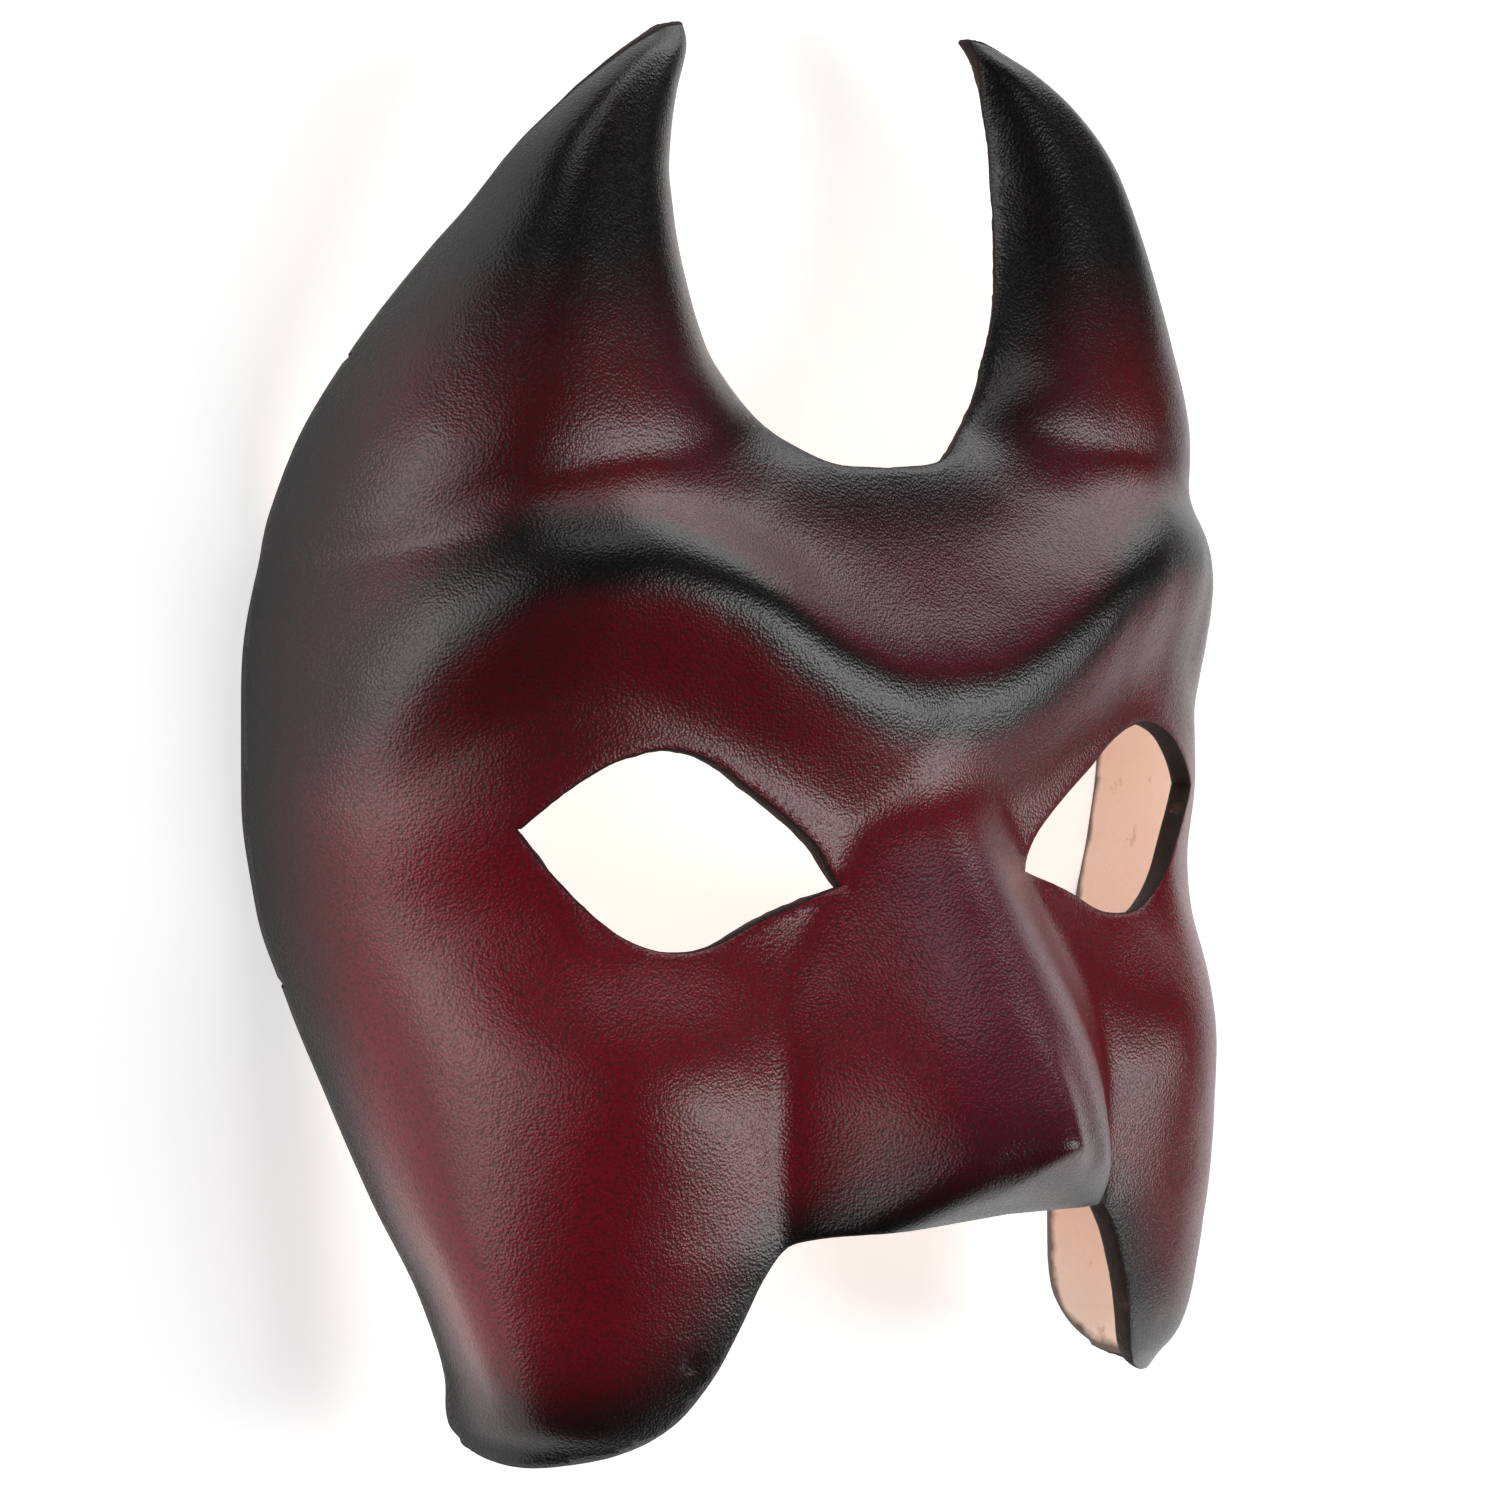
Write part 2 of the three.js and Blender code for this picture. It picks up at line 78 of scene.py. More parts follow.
def fade(value, start, over):
    """Rises from 0 to 1 as a value goes past start over a stretch, backwards if it is below 0."""
    return ease((value - start) / over)


def blend_high(a, b, width):
    """The higher of two surfaces, with the valley between them rounded over a width."""
    h = np.clip(0.5 + 0.5 * (a - b) / width, 0, 1)
    return b * (1 - h) + a * h + width * h * (1 - h)


def blend_low(a, b, width):
    return -blend_high(-a, -b, width)


def profile(*points):
    """A smooth curve through (height, value) pairs, held level beyond its ends."""
    at, value = np.array(points, float).T
    slope = np.diff(value) / np.diff(at)
    before, after = slope[:-1], slope[1:]
    total = np.where(before * after > 0, before + after, 1)
    inner = np.where(before * after > 0, 2 * before * after / total, 0)
    lean = np.concatenate([slope[:1], inner, slope[-1:]])

    def curve(where):
        here = np.clip(where, at[0], at[-1])
        i = np.clip(np.searchsorted(at, here, side="right") - 1, 0, len(slope) - 1)
        run = at[i + 1] - at[i]
        t = (here - at[i]) / run
        start = value[i] * (1 + 2 * t) * (1 - t) ** 2 + lean[i] * run * t * (1 - t) ** 2
        end = value[i + 1] * t * t * (3 - 2 * t) + lean[i + 1] * run * t * t * (t - 1)
        return start + end

    return curve


# Head form: each level is a rounded arch, given by its half width, the depth of its
# centre, the depth of its front and how square its shoulders are.
half_width = profile(
    (-80, 63), (-71.7, 63), (-63, 63.8), (-51, 65.6), (-39, 67), (-27, 69.2), (-15.5, 72),
    (-3, 73.9), (10, 73.9), (26, 72), (37.8, 69.3), (49.5, 63.9), (61.4, 56.4), (66, 53.2),
    (73, 48.7), (79, 42.8), (85, 34.3), (88.5, 27),
)
arch_centre = profile((-85, -10), (-55, -14), (-20, -22), (10, -24), (35, -22), (60, -12))
arch_front = profile(
    (-85, 23), (-80, 28), (-75, 31.5), (-69, 33.8), (-61, 35.2), (-55, 35.8), (-40, 35.5),
    (-20, 33.5), (-8, 33), (6, 32.4), (20, 30.4), (28, 28), (35.5, 25), (42, 19), (50, 8),
    (60, -12),
)
shoulder = profile((-70, 4), (-40, 3.8), (-20, 3.4), (0, 3), (30, 2.9), (60, 2.6))

# The lower wall leans in towards its rim over the last stretch of its depth.
wall_tuck = profile(
    (-85, 5.5), (-78.6, 7.4), (-71.7, 10), (-63, 9.2), (-51, 6.6), (-39, 3.6), (-27, 1.4),
    (-15, 0.2), (0, 0),
)
TUCK_DEPTH = 22

# Depth at which the side rim is cut, from the foot of a lobe to the horn tip.
REST_CENTRE = -2
REST_DEPTH = -8.2
side_rim = profile(
    (-78.6, 9), (-77, 6.5), (-75, 5), (-71.7, 3.7), (-63, 1.3), (-51, -2.4), (-39, -5),
    (-27, -7.2), (REST_CENTRE - REST_LENGTH / 2, REST_DEPTH),
    (REST_CENTRE + REST_LENGTH / 2, REST_DEPTH), (26, -7), (37.8, -4), (49.5, 0.3),
    (61.4, 5.8), (66, 8.4), (73, 11.8), (79, 14.2), (85, 15.2), (88.5, 14.6),
)

# Horn: an arch over the line of its crest, with its own reach inwards and squareness.
horn_line = profile(
    (20, 40), (30, 37), (41, 36.5), (50, 38), (60, 38.6), (70, 37.6), (75, 36), (80, 33.4),
    (85, 29), (88.5, 25.2),
)
horn_crest = profile(
    (20, 18), (28, 22.5), (35, 25), (41, 25.6), (50, 24.4), (60, 22.8), (70, 21.2), (80, 19.2),
    (85, 17.4), (88.5, 14.6),
)
horn_centre = profile(
    (20, -22), (33, -19), (41, -15), (50, -10), (60, -4), (68, 1), (80, 8), (88.5, 12)
)
horn_inward = profile(
    (20, 48), (35, 42), (41, 36), (50, 25), (60, 19.5), (68, 15.5), (80, 9.8), (88.5, 4)
)
horn_square = profile((20, 2.8), (50, 2.9), (60, 3.2), (68, 3.7), (80, 4), (88, 3))
HORN_ROOT = 18
HORN_SUNK = 14
HORN_RISE = 12
HORN_VALLEY = 5

# Brow roll: the height of its line and its share of the swell, from the centre outwards.
brow_line = profile(
    (0, 9.5), (8, 10.2), (16, 13.2), (26, 18.6), (36, 23.6), (46, 26.2), (54, 26), (62, 22),
    (68, 15.5), (73, 4),
)
brow_share = profile(
    (0, 0.56), (16, 0.67), (30, 0.87), (46, 1), (56, 0.92), (64, 0.64), (70, 0.28), (75, 0)
)
BROW_FADE = 10
BROW_FALL = 20

# Hollow under the eye, from the centre outwards, and the swell of the cheek.
socket_share = profile(
    (0, 0), (20, 0.28), (34, 0.94), (42, 1), (50, 0.72), (58, 0.83), (68, 0.55), (75, 0)
)
SOCKET_LINE = -17
SOCKET_FADE = 10
CHEEK_ACROSS = 45
CHEEK_UP = -36
CHEEK_FADE = 14

# Nose: the depth of its ridge and how tightly the ridge is rounded at each height, and the
# slope that cuts it off under the tip.
nose_ridge = profile(
    (-56, 57.5), (-45.5, 55.9), (-41.5, 54.8), (-37, 53), (-31, 50.3), (-25, 47), (-19.5, 43.9),
    (-12, 39.6), (-4, 33.8), (4, 29), (14, 18),
)
nose_radius = profile((-56, 13), (-45, 14.6), (-36, 16.2), (-28, 15.2), (-20, 12.5), (-12, 9.5), (4, 8))
nose_under = profile(
    (-56, 42), (-53.4, 45.6), (-49.3, 51.7), (-45.2, 56.6), (-40, 62.5), (-30, 74), (-20, 86)
)
NOSE_VALLEY = 8
NOSE_UNDER_REACH = 24
NOSE_SIDE = 8
PINCH_TOP = -28
PINCH_RUN = 14
PINCH_WIDTH = 3.2

# Half of the front outline: crotch between the horns to a horn tip, then the lobe from the
# foot of the side rim round to the middle under the nose.
HORN_TIP = (24.2, 88.5)
CROTCH = (0, 35.5)
UNDER_NOSE = (0, -53.4)
HORN_EDGE = [
    CROTCH, (9, 36.2), (13.3, 38.2), (18, 41.8), (22.1, 47.4), (25, 53.9), (26.5, 61.4),
    (27, 68.3), (26.8, 74.5), (25.8, 80), (24.7, 85), HORN_TIP,
]
LOBE_FOOT = -78.6
LOBE_EDGE = [
    (62.4, LOBE_FOOT), (60.8, -80.2), (57.5, -81), (51.5, -80.7), (45, -79.6), (39.5, -77),
    (36, -72), (32.5, -64.8), (29.4, -58.6), (26.6, -55.5), (23.4, -54.6), (18, -54.1),
    (12, -53.9), (7.5, -53.7), UNDER_NOSE,
]

# Eye hole, as shares of its length and opening about its centre, inner corner first.
EYE_UPPER = [
    (-0.5, -0.22), (-0.435, -0.035), (-0.32, 0.13), (-0.19, 0.28), (-0.054, 0.434),
    (0.09, 0.5), (0.26, 0.434), (0.39, 0.29), (0.5, 0.12),
]
EYE_LOWER = [
    (0.5, 0.12), (0.41, -0.093), (0.305, -0.29), (0.19, -0.434), (0.073, -0.5),
    (-0.078, -0.483), (-0.247, -0.367), (-0.5, -0.22),
]

# The sheet is meshed as a flat pattern: a turn counts as its arc length.
ARC = 62
PATTERN_FOOT = -84
PATTERN_TURN = 1.75


def arch(turn, up):
    """Half width and depth share of the head form at a turn about it and a height."""
    power = shoulder(up)
    side = np.abs(np.sin(turn))
    front = np.abs(np.cos(turn))
    reach = (side**power + front**power) ** (1 / power)
    across = half_width(up) * np.where(turn < math.pi / 2, side / reach, 1)
    return across, np.cos(turn) / reach


# A turn is found for places just short of the full half width.
WIDEST_SHARE = 0.99999


def turn_at(across, up):
    """The turn at which the head form has a given distance across."""
    power = shoulder(up)
    share = np.minimum(across / half_width(up), WIDEST_SHARE)
    return np.arctan(share / (1 - share**power) ** (1 / power))


def horn_depth(across, up):
    line = horn_line(up)
    foot = horn_centre(up)
    outward = across > line
    reach = np.where(outward, half_width(up) - line, horn_inward(up))
    power = np.where(outward, horn_square(up), 2)
    t = np.clip(np.abs(across - line) / reach, 0, 1)
    sunk = HORN_SUNK * (1 - ease((up - HORN_ROOT) / HORN_RISE))
    return foot + (horn_crest(up) - foot) * (1 - t**power) ** (1 / power) - sunk


def face_point(turn, up, softness=0):
    """Points of the outer face in millimetres, on the right half."""
    across, out = arch(turn, up)
    centre = arch_centre(up)
    depth = centre + (arch_front(up) - centre) * out

    over_brow = up - brow_line(across)
    above = np.exp(-((np.maximum(over_brow, 0) / BROW_FADE) ** 2))
    below = 1 - ease(-over_brow / BROW_FALL)
    depth = depth + BROW_SWELL * brow_share(across) * np.where(over_brow > 0, above, below)
    sink = np.exp(-(((up - SOCKET_LINE) / SOCKET_FADE) ** 2))
    depth = depth - SOCKET_SINK * socket_share(across) * sink
    horned = blend_high(depth, horn_depth(across, up), HORN_VALLEY)
    depth = np.where(up > HORN_ROOT, horned, depth)

    cheek = ((across - CHEEK_ACROSS) / CHEEK_FADE) ** 2 + ((up - CHEEK_UP) / CHEEK_FADE) ** 2
    depth = depth + CHEEK_SWELL * np.exp(-cheek)

    pinch = NOSE_PINCH / (1 + softness) * np.exp(-((across / PINCH_WIDTH) ** 2))
    ridge = nose_ridge(up) - across**2 / (2 * (nose_radius(up) + softness))
    depth = blend_high(depth, ridge + pinch * ease((PINCH_TOP - up) / PINCH_RUN), NOSE_VALLEY)
    rounding = NOSE_TIP_BLUNT + NOSE_SIDE_ROUND * ease(across / NOSE_SIDE) + softness
    cut_off = blend_low(depth, nose_under(up), rounding)
    depth = np.where(across < NOSE_UNDER_REACH, cut_off, depth)

    tuck = wall_tuck(up) * ease((side_rim(up) + TUCK_DEPTH - depth) / TUCK_DEPTH)
    return np.stack([across - tuck, up + 0 * depth, depth], -1)


# The rim is looked for between these turns, by halving the stretch between them.
WALL_START = 0.8
WALL_END = 2.0
HALVINGS = 40


def rim_turn(up):
    """The turn at which the wall has come down to the depth of the side rim."""
    near = np.full(np.shape(up), WALL_START)
    far = np.full(np.shape(up), WALL_END)
    for _ in range(HALVINGS):
        middle = (near + far) / 2
        above = face_point(middle, up)[..., 2] > side_rim(up)
        near = np.where(above, middle, near)
        far = np.where(above, far, middle)
    return near


def smooth_line(points, steps=10):
    """A centripetal spline through flat points."""
    marks = np.array(points, float)
    marks = np.concatenate([2 * marks[:1] - marks[1:2], marks, 2 * marks[-1:] - marks[-2:-1]])
    pieces = []
    for i in range(1, len(marks) - 2):
        a, b, c, d = marks[i - 1 : i + 3]
        knots = np.cumsum([0] + [math.sqrt(np.linalg.norm(q - p)) for p, q in ((a, b), (b, c), (c, d))])
        t = np.linspace(knots[1], knots[2], steps, endpoint=False)[:, None]

        def between(p, q, low, high):
            return p + (q - p) * (t - knots[low]) / (knots[high] - knots[low])

        ab, bc, cd = between(a, b, 0, 1), between(b, c, 1, 2), between(c, d, 2, 3)
        pieces.append(between(between(ab, bc, 0, 2), between(bc, cd, 1, 3), 1, 2))
    pieces.append(marks[-2:-1])
    return np.concatenate(pieces)


def drawn_line(points):
    line = smooth_line(points)
    return np.stack([turn_at(line[:, 0], line[:, 1]), line[:, 1]], -1)


SIDE_STEPS = 360


def outline_ring():
    up = np.linspace(HORN_TIP[1], LOBE_FOOT, SIDE_STEPS)[1:]
    side = np.stack([rim_turn(up), up], -1)
    lobe = drawn_line(LOBE_EDGE)
    return np.concatenate([drawn_line(HORN_EDGE), side, lobe[lobe[:, 0] < side[-1, 0]]])


def eye_lid(lid):
    middle = EYE_SPACING / 2
    return drawn_line([(middle + x * EYE_LENGTH, EYE_LEVEL + y * EYE_OPENING) for x, y in lid])


def inside_ring(ring, place):
    """Which (turn, height) places lie inside a closed ring."""
    inside = np.zeros(len(place), bool)
    turn, up = place.T
    for (turn_a, up_a), (turn_b, up_b) in zip(ring, np.roll(ring, 1, axis=0)):
        if up_a == up_b:
            continue
        reach = (turn_b - turn_a) * (up - up_a) / (up_b - up_a) + turn_a
        inside ^= ((up_a > up) != (up_b > up)) & (turn < reach)
    return inside


def nearest_on(line, place):
    """For each place, the nearest point of a line over the flat pattern, and how far it is."""
    scale = np.array([ARC, 1])
    here = place * scale
    best = np.full(len(place), np.inf)
    nearest = np.zeros_like(place)
    for start, end in zip(line[:-1] * scale, line[1:] * scale):
        along = end - start
        length = along @ along or 1
        t = np.clip((here - start) @ along / length, 0, 1)
        point = start + t[:, None] * along
        away = np.linalg.norm(here - point, axis=1)
        closer = away < best
        best = np.where(closer, away, best)
        nearest[closer] = point[closer] / scale
    return nearest, best


def flat_area(place, triangles):
    a, b, c = (place[triangles[:, i]] for i in range(3))
    ab, ac = b - a, c - a
    return (ab[:, 0] * ac[:, 1] - ab[:, 1] * ac[:, 0]) * ARC / 2


def triangle_sides(triangles):
    return np.concatenate([triangles[:, [0, 1]], triangles[:, [1, 2]], triangles[:, [2, 0]]])


def rim_edges(triangles):
    """The edges that belong to one triangle only, in that triangle's direction."""
    edges = triangle_sides(triangles)
    most = edges.max() + 1
    forward = edges[:, 0] * most + edges[:, 1]
    back = edges[:, 1] * most + edges[:, 0]
    return edges[~np.isin(forward, back)]


class Pattern:
    """The right half of the sheet as a flat triangle mesh whose rim follows the cuts."""

    SMALLEST_SHARE = 0.06
    PAST_CENTRE = -0.1
    PASSES = 6

    def __init__(self, cell):
        self.cell = cell
        self.outline = outline_ring()
        upper, lower = eye_lid(EYE_UPPER), eye_lid(EYE_LOWER)
        self.eye = np.concatenate([upper, lower[1:]])
        ends = [(self.PAST_CENTRE, CROTCH[1])], [(self.PAST_CENTRE, UNDER_NOSE[1])]
        self.closed = np.concatenate([ends[0], self.outline, ends[1]])
        self.lay_lattice()
        corners = [(0, CROTCH[1]), (0, UNDER_NOSE[1])]
        corners += [(float(turn_at(*HORN_TIP)), HORN_TIP[1]), tuple(upper[0]), tuple(upper[-1])]
        self.pin(corners)
        self.snap_to_cuts()
        self.drop_waste()
        self.even_out()

    def in_leather(self, place):
        """Which places lie inside the outline and outside the eye hole."""
        return inside_ring(self.closed, place) & ~inside_ring(self.eye, place)

    def nearest_cut(self, place):
        """The nearest point of any cut to each place, and how far it is."""
        on_outline, from_outline = nearest_on(self.outline, place)
        on_eye, from_eye = nearest_on(self.eye, place)
        nearer = (from_eye < from_outline)[:, None]
        return np.where(nearer, on_eye, on_outline), np.minimum(from_eye, from_outline)

    def lay_lattice(self):
        """Square cells, each of two triangles, whose diagonals turn from cell to cell."""
        columns = math.ceil(PATTERN_TURN * ARC / self.cell)
        rows = math.ceil((HORN_TIP[1] - PATTERN_FOOT) / self.cell)
        row, column = (g.ravel() for g in np.mgrid[0 : rows + 1, 0 : columns + 1])
        self.column = column
        self.place = np.stack([column * self.cell / ARC, PATTERN_FOOT + row * self.cell], -1)
        self.inside = self.in_leather(self.place)
        self.fixed = np.zeros(len(self.place), bool)
        self.on_cut = np.zeros(len(self.place), bool)
        row, column = (g.ravel() for g in np.mgrid[0:rows, 0:columns])
        a = row * (columns + 1) + column
        b, c, d = a + 1, a + columns + 2, a + columns + 1
        odd = ((row + column) % 2 == 1)[:, None]
        first = np.where(odd, np.stack([a, b, c], -1), np.stack([b, d, a], -1))
        second = np.where(odd, np.stack([a, c, d], -1), np.stack([b, c, d], -1))
        self.triangles = np.concatenate([first, second])

    def pin(self, corners):
        """The lattice node nearest to each corner of the cuts moves onto it."""
        for turn, up in corners:
            gap = np.hypot((self.place[:, 0] - turn) * ARC, self.place[:, 1] - up)
            usable = ~self.fixed & ((self.column == 0) == (turn == 0))
            nearest = np.where(usable, gap, np.inf).argmin()
            self.place[nearest] = turn, up
            self.fixed[nearest] = True

    def snap_to_cuts(self):
        """The nodes nearest to a cut move onto it first, until no lattice line crosses it."""
        onto, away = self.nearest_cut(self.place)
        near = np.flatnonzero((away < 2 * self.cell) & ~self.fixed & (self.column > 0))
        neighbours = {int(i): set() for i in near}
        for ends in triangle_sides(self.triangles).tolist():
            for here, there in (ends, ends[::-1]):
                if here in neighbours:
                    neighbours[here].add(there)
        for i in near[np.argsort(away[near], kind="stable")].tolist():
            if any(not self.fixed[j] and self.inside[j] != self.inside[i] for j in neighbours[i]):
                self.place[i] = onto[i]
                self.fixed[i] = self.on_cut[i] = True

    def drop_waste(self):
        """Keeps the triangles that lie in the leather and aren't slivers."""
        usable = (self.fixed | self.inside)[self.triangles].all(1)
        kept = self.triangles[usable]
        middle = self.place[kept].mean(1)
        sound = flat_area(self.place, kept) > self.SMALLEST_SHARE * self.cell**2
        self.triangles = kept[self.in_leather(middle) & sound]

    def even_out(self):
        """Free nodes move to the middle of their neighbours, and those on a cut slide along it."""
        sides = triangle_sides(self.triangles)
        sides = np.concatenate([sides, sides[:, ::-1]])
        rim = rim_edges(self.triangles)
        rim = np.concatenate([rim, rim[:, ::-1]])
        here, there = sides.T
        inner = ~self.on_cut[here] & ((self.column[here] > 0) | (self.column[there] == 0))
        pairs = np.concatenate([sides[inner], rim[self.on_cut[rim[:, 0]]]])
        moves = np.zeros(len(self.place), bool)
        moves[pairs[:, 0]] = True
        moves &= ~self.fixed | self.on_cut
        sliding = np.flatnonzero(moves & self.on_cut)
        for _ in range(self.PASSES):
            total = np.zeros_like(self.place)
            count = np.zeros(len(self.place))
            np.add.at(total, pairs[:, 0], self.place[pairs[:, 1]])
            np.add.at(count, pairs[:, 0], 1)
            middle = total / np.maximum(count, 1)[:, None]
            self.place = np.where(moves[:, None], (self.place + middle) / 2, self.place)
            self.place[sliding] = self.nearest_cut(self.place[sliding])[0]
            self.place[self.column == 0, 0] = 0


# The outward direction is taken over this reach. A turn covers more of the face in some
# places than in others, and the step across allows for it within limits.
NORMAL_REACH = 3.5
LEAST_STRETCH = 0.3
MOST_STRETCH = 1.5


def face_normal(turn, up, softness):
    """Outward direction of the outer face, taken over a few millimetres each way."""

    def across(step):
        before = face_point(np.maximum(turn - step, 0), up, softness)
        return face_point(turn + step, up, softness) - before

    step = NORMAL_REACH / ARC
    stretch = np.linalg.norm(across(step), axis=-1) / (2 * NORMAL_REACH)
    along = across(step / np.clip(stretch, LEAST_STRETCH, MOST_STRETCH))
    below = face_point(turn, up - NORMAL_REACH, softness)
    upwards = face_point(turn, up + NORMAL_REACH, softness) - below
    normal = np.cross(along, upwards)
    normal[turn == 0, 0] = 0
    return unit(normal)


TINY = 1e-12


def unit(vectors):
    return vectors / np.maximum(np.linalg.norm(vectors, axis=-1, keepdims=True), TINY)


# The inner face: the leather's thickness behind the outer one. Inside a horn's narrow end
# it lies towards the horn's core. The side rim is cut level, so that the mask lies on the
# whole width of the edge.
INNER_SOFTNESS = 1.6
HORN_NARROWS = 64
HORN_NARROW_RUN = 10
HORN_CORE = 10
LEVEL_CUT_TOP = 62
LEVEL_CUT_FADE = 20
ON_RIM = 0.01


def inner_point(turn, up, on_cut, thickness):
    """Points of the inner face in millimetres, on the right half."""
    on_side_rim = on_cut & (turn > WALL_START) & (np.abs(turn - rim_turn(up)) < ON_RIM)
    outer = face_point(turn, up, np.where(on_side_rim, 0, INNER_SOFTNESS))
    normal = face_normal(turn, up, INNER_SOFTNESS)
    level = np.where(on_side_rim, 1 - ease((up - LEVEL_CUT_TOP) / LEVEL_CUT_FADE), 0)
    normal[:, 2] *= 1 - level
    normal = unit(normal)
    core = np.stack([horn_line(up), up, horn_crest(up) - HORN_CORE], -1)
    narrow = ease((up - HORN_NARROWS) / HORN_NARROW_RUN)[:, None]
    normal = unit(normal * (1 - narrow) + unit(outer - core) * narrow)
    return outer - normal * thickness


# Ripples are sums of waves, each with its own direction, length and start.
WAVES = 7
WAVE_TURN = 2.4
WAVE_RISE = 1.7
WAVE_START = 5.1
SHORTEST_WAVE = 0.8
LONGER_EACH = 0.09
WAVE_HEIGHT = 3


def ripple(points, length, first_turn):
    """Smooth numbers between about -1 and 1 over space, with bumps of about a given length."""
    total = 0
    for wave in range(WAVES):
        turn = first_turn + WAVE_TURN * wave
        rise = math.sin(WAVE_RISE * wave + first_turn)
        flat = math.sqrt(1 - rise * rise)
        direction = np.array([flat * math.cos(turn), flat * math.sin(turn), rise])
        run = length * (SHORTEST_WAVE + LONGER_EACH * wave)
        total = total + np.sin(points @ direction * 2 * math.pi / run + WAVE_START * wave)
    return total / WAVE_HEIGHT


# Airbrushed black, with painted shade in it over the upper half. The band along the brow has
# its lift over the brow's line, its width and its strength from the centre outwards. Along
# the outline the black reaches in by a distance that changes with the height.
band_lift = profile((0, 0), (22, 1), (40, 4), (56, 4.5), (66, 3))
band_width = profile((0, 9.5), (20, 10), (45, 11), (60, 12), (70, 13))
band_strength = profile((0, 0.97), (50, 0.98), (60, 0.9), (68, 0.6), (74, 0.1))
edge_reach = profile((-80, 12), (-60, 10), (-40, 13), (-10, 20), (30, 20), (50, 14))
EDGE_STRENGTH = 0.97
EDGE_START = 0.4
EDGE_CURVE = 0.8
LESS_IN_MIDDLE = 0.4
FOOT_STRENGTH = 0.8
NOSE_STRENGTH = 0.78
# The black over the upper half is partly dye and partly painted shade under the brow and over the lids;
# the temples' extra share is dye.
UPPER_DYE_AND_SHADE = 0.3
TEMPLE_STRENGTH = 0.35

# The stretch in millimetres over which the band comes in at its foot. For the other fades,
# the place where each starts and its stretch, which is below 0 for one that grows backwards.
BAND_SOFTNESS = 5
BAND_TOP = (3, -4.4)
HORN_FADE = (40, 24)
UPPER_FADE = (-12, 24)
TEMPLE_FADE = (40, 18)
MIDDLE_FADE = (30, 16)
FOOT_FADE = (-62, -16)
NOSE_FADE = (-35, -16)
NOSE_SIDE_FADE = (14, 16)


def black_dye_and_shade(across, up, from_outline):
    """How much black lies over the red, from 0 to 1: airbrushed dye, and over the upper half partly
    painted shade.
    """
    over_line = up - brow_line(across) - band_lift(across)
    band = fade(over_line, -band_width(across), BAND_SOFTNESS) * fade(over_line, *BAND_TOP)
    brow = band * band_strength(across)
    horn = fade(up, *HORN_FADE)
    # Darker upper half: partly dye, partly painted shade under the brow and over the lids.
    upper = fade(up, *UPPER_FADE) * (UPPER_DYE_AND_SHADE + TEMPLE_STRENGTH * fade(across, *TEMPLE_FADE))
    middle = 1 - fade(across, *MIDDLE_FADE)
    reach = edge_reach(up) * (1 - LESS_IN_MIDDLE * middle)
    edge = EDGE_STRENGTH * (1 - fade(from_outline, EDGE_START, reach)) ** EDGE_CURVE
    foot = FOOT_STRENGTH * fade(up, *FOOT_FADE)
    nose = NOSE_STRENGTH * fade(up, *NOSE_FADE) * (1 - fade(across, *NOSE_SIDE_FADE))
    clear = (1 - brow) * (1 - horn) * (1 - edge) * (1 - foot) * (1 - nose) * (1 - upper)
    return 1 - clear


PLUM_ON_NOSE = 0.8
FOREHEAD_FADE = (0, 5)
FOREHEAD_SIDE_FADE = (24, 20)
PLUM_NOSE_FADE = (-4, -10)
PLUM_NOSE_SIDE_FADE = (5, 16)


def plum_tint(across, up):
    """Where the red turns to plum: the forehead between the horns, and the nose."""
    over_line = up - brow_line(across)
    forehead = fade(over_line, *FOREHEAD_FADE) * (1 - fade(across, *FOREHEAD_SIDE_FADE))
    nose = fade(up, *PLUM_NOSE_FADE) * (1 - fade(across, *PLUM_NOSE_SIDE_FADE))
    return np.maximum(forehead, PLUM_ON_NOSE * nose)


# Dents left by forming the leather, and a small pit in the left lobe whose hollow is painted black as
# painted shade.
LONG_DENTS = (11, 0.4)
SHORT_DENTS = (5.2, 2.1)
SHORT_SHARE = 0.6
CALM_AT_CUTS = 4
PIT = (-38.8, -68.6, 32.2)
PIT_WIDTH = 0.9
PIT_DEPTH = 0.4


def pit_share(outer):
    """How much of the pit's depth each point has, which is also its share of painted shade."""
    return np.exp(-((np.linalg.norm(outer - np.array(PIT), axis=1) / PIT_WIDTH) ** 2))


def formed(outer, thin, from_cut, pit, hammering):
    """The outer face with its dents and its pit, given the directions out of the leather."""
    dents = ripple(outer, *LONG_DENTS) + SHORT_SHARE * ripple(outer, *SHORT_DENTS)
    calm = ease(from_cut / CALM_AT_CUTS)
    return outer + thin * (hammering * dents * calm - PIT_DEPTH * pit)[:, None]


# Cut edge: rings of points at shares of the leather's thickness. The edge bulges between
# the two faces and has nicks of a given length and of single points.
RING_DEPTHS = (0.05, 0.2, 0.5, 0.8, 0.95)
BULGE_POWER = 2.4
NICK_LENGTH = 2.6
NICK_START = 1.3
NICK_SHARE = 0.6
GRIT_SHARE = 0.5
ROUGH_RISE = 4
EDGE_SEED = 11


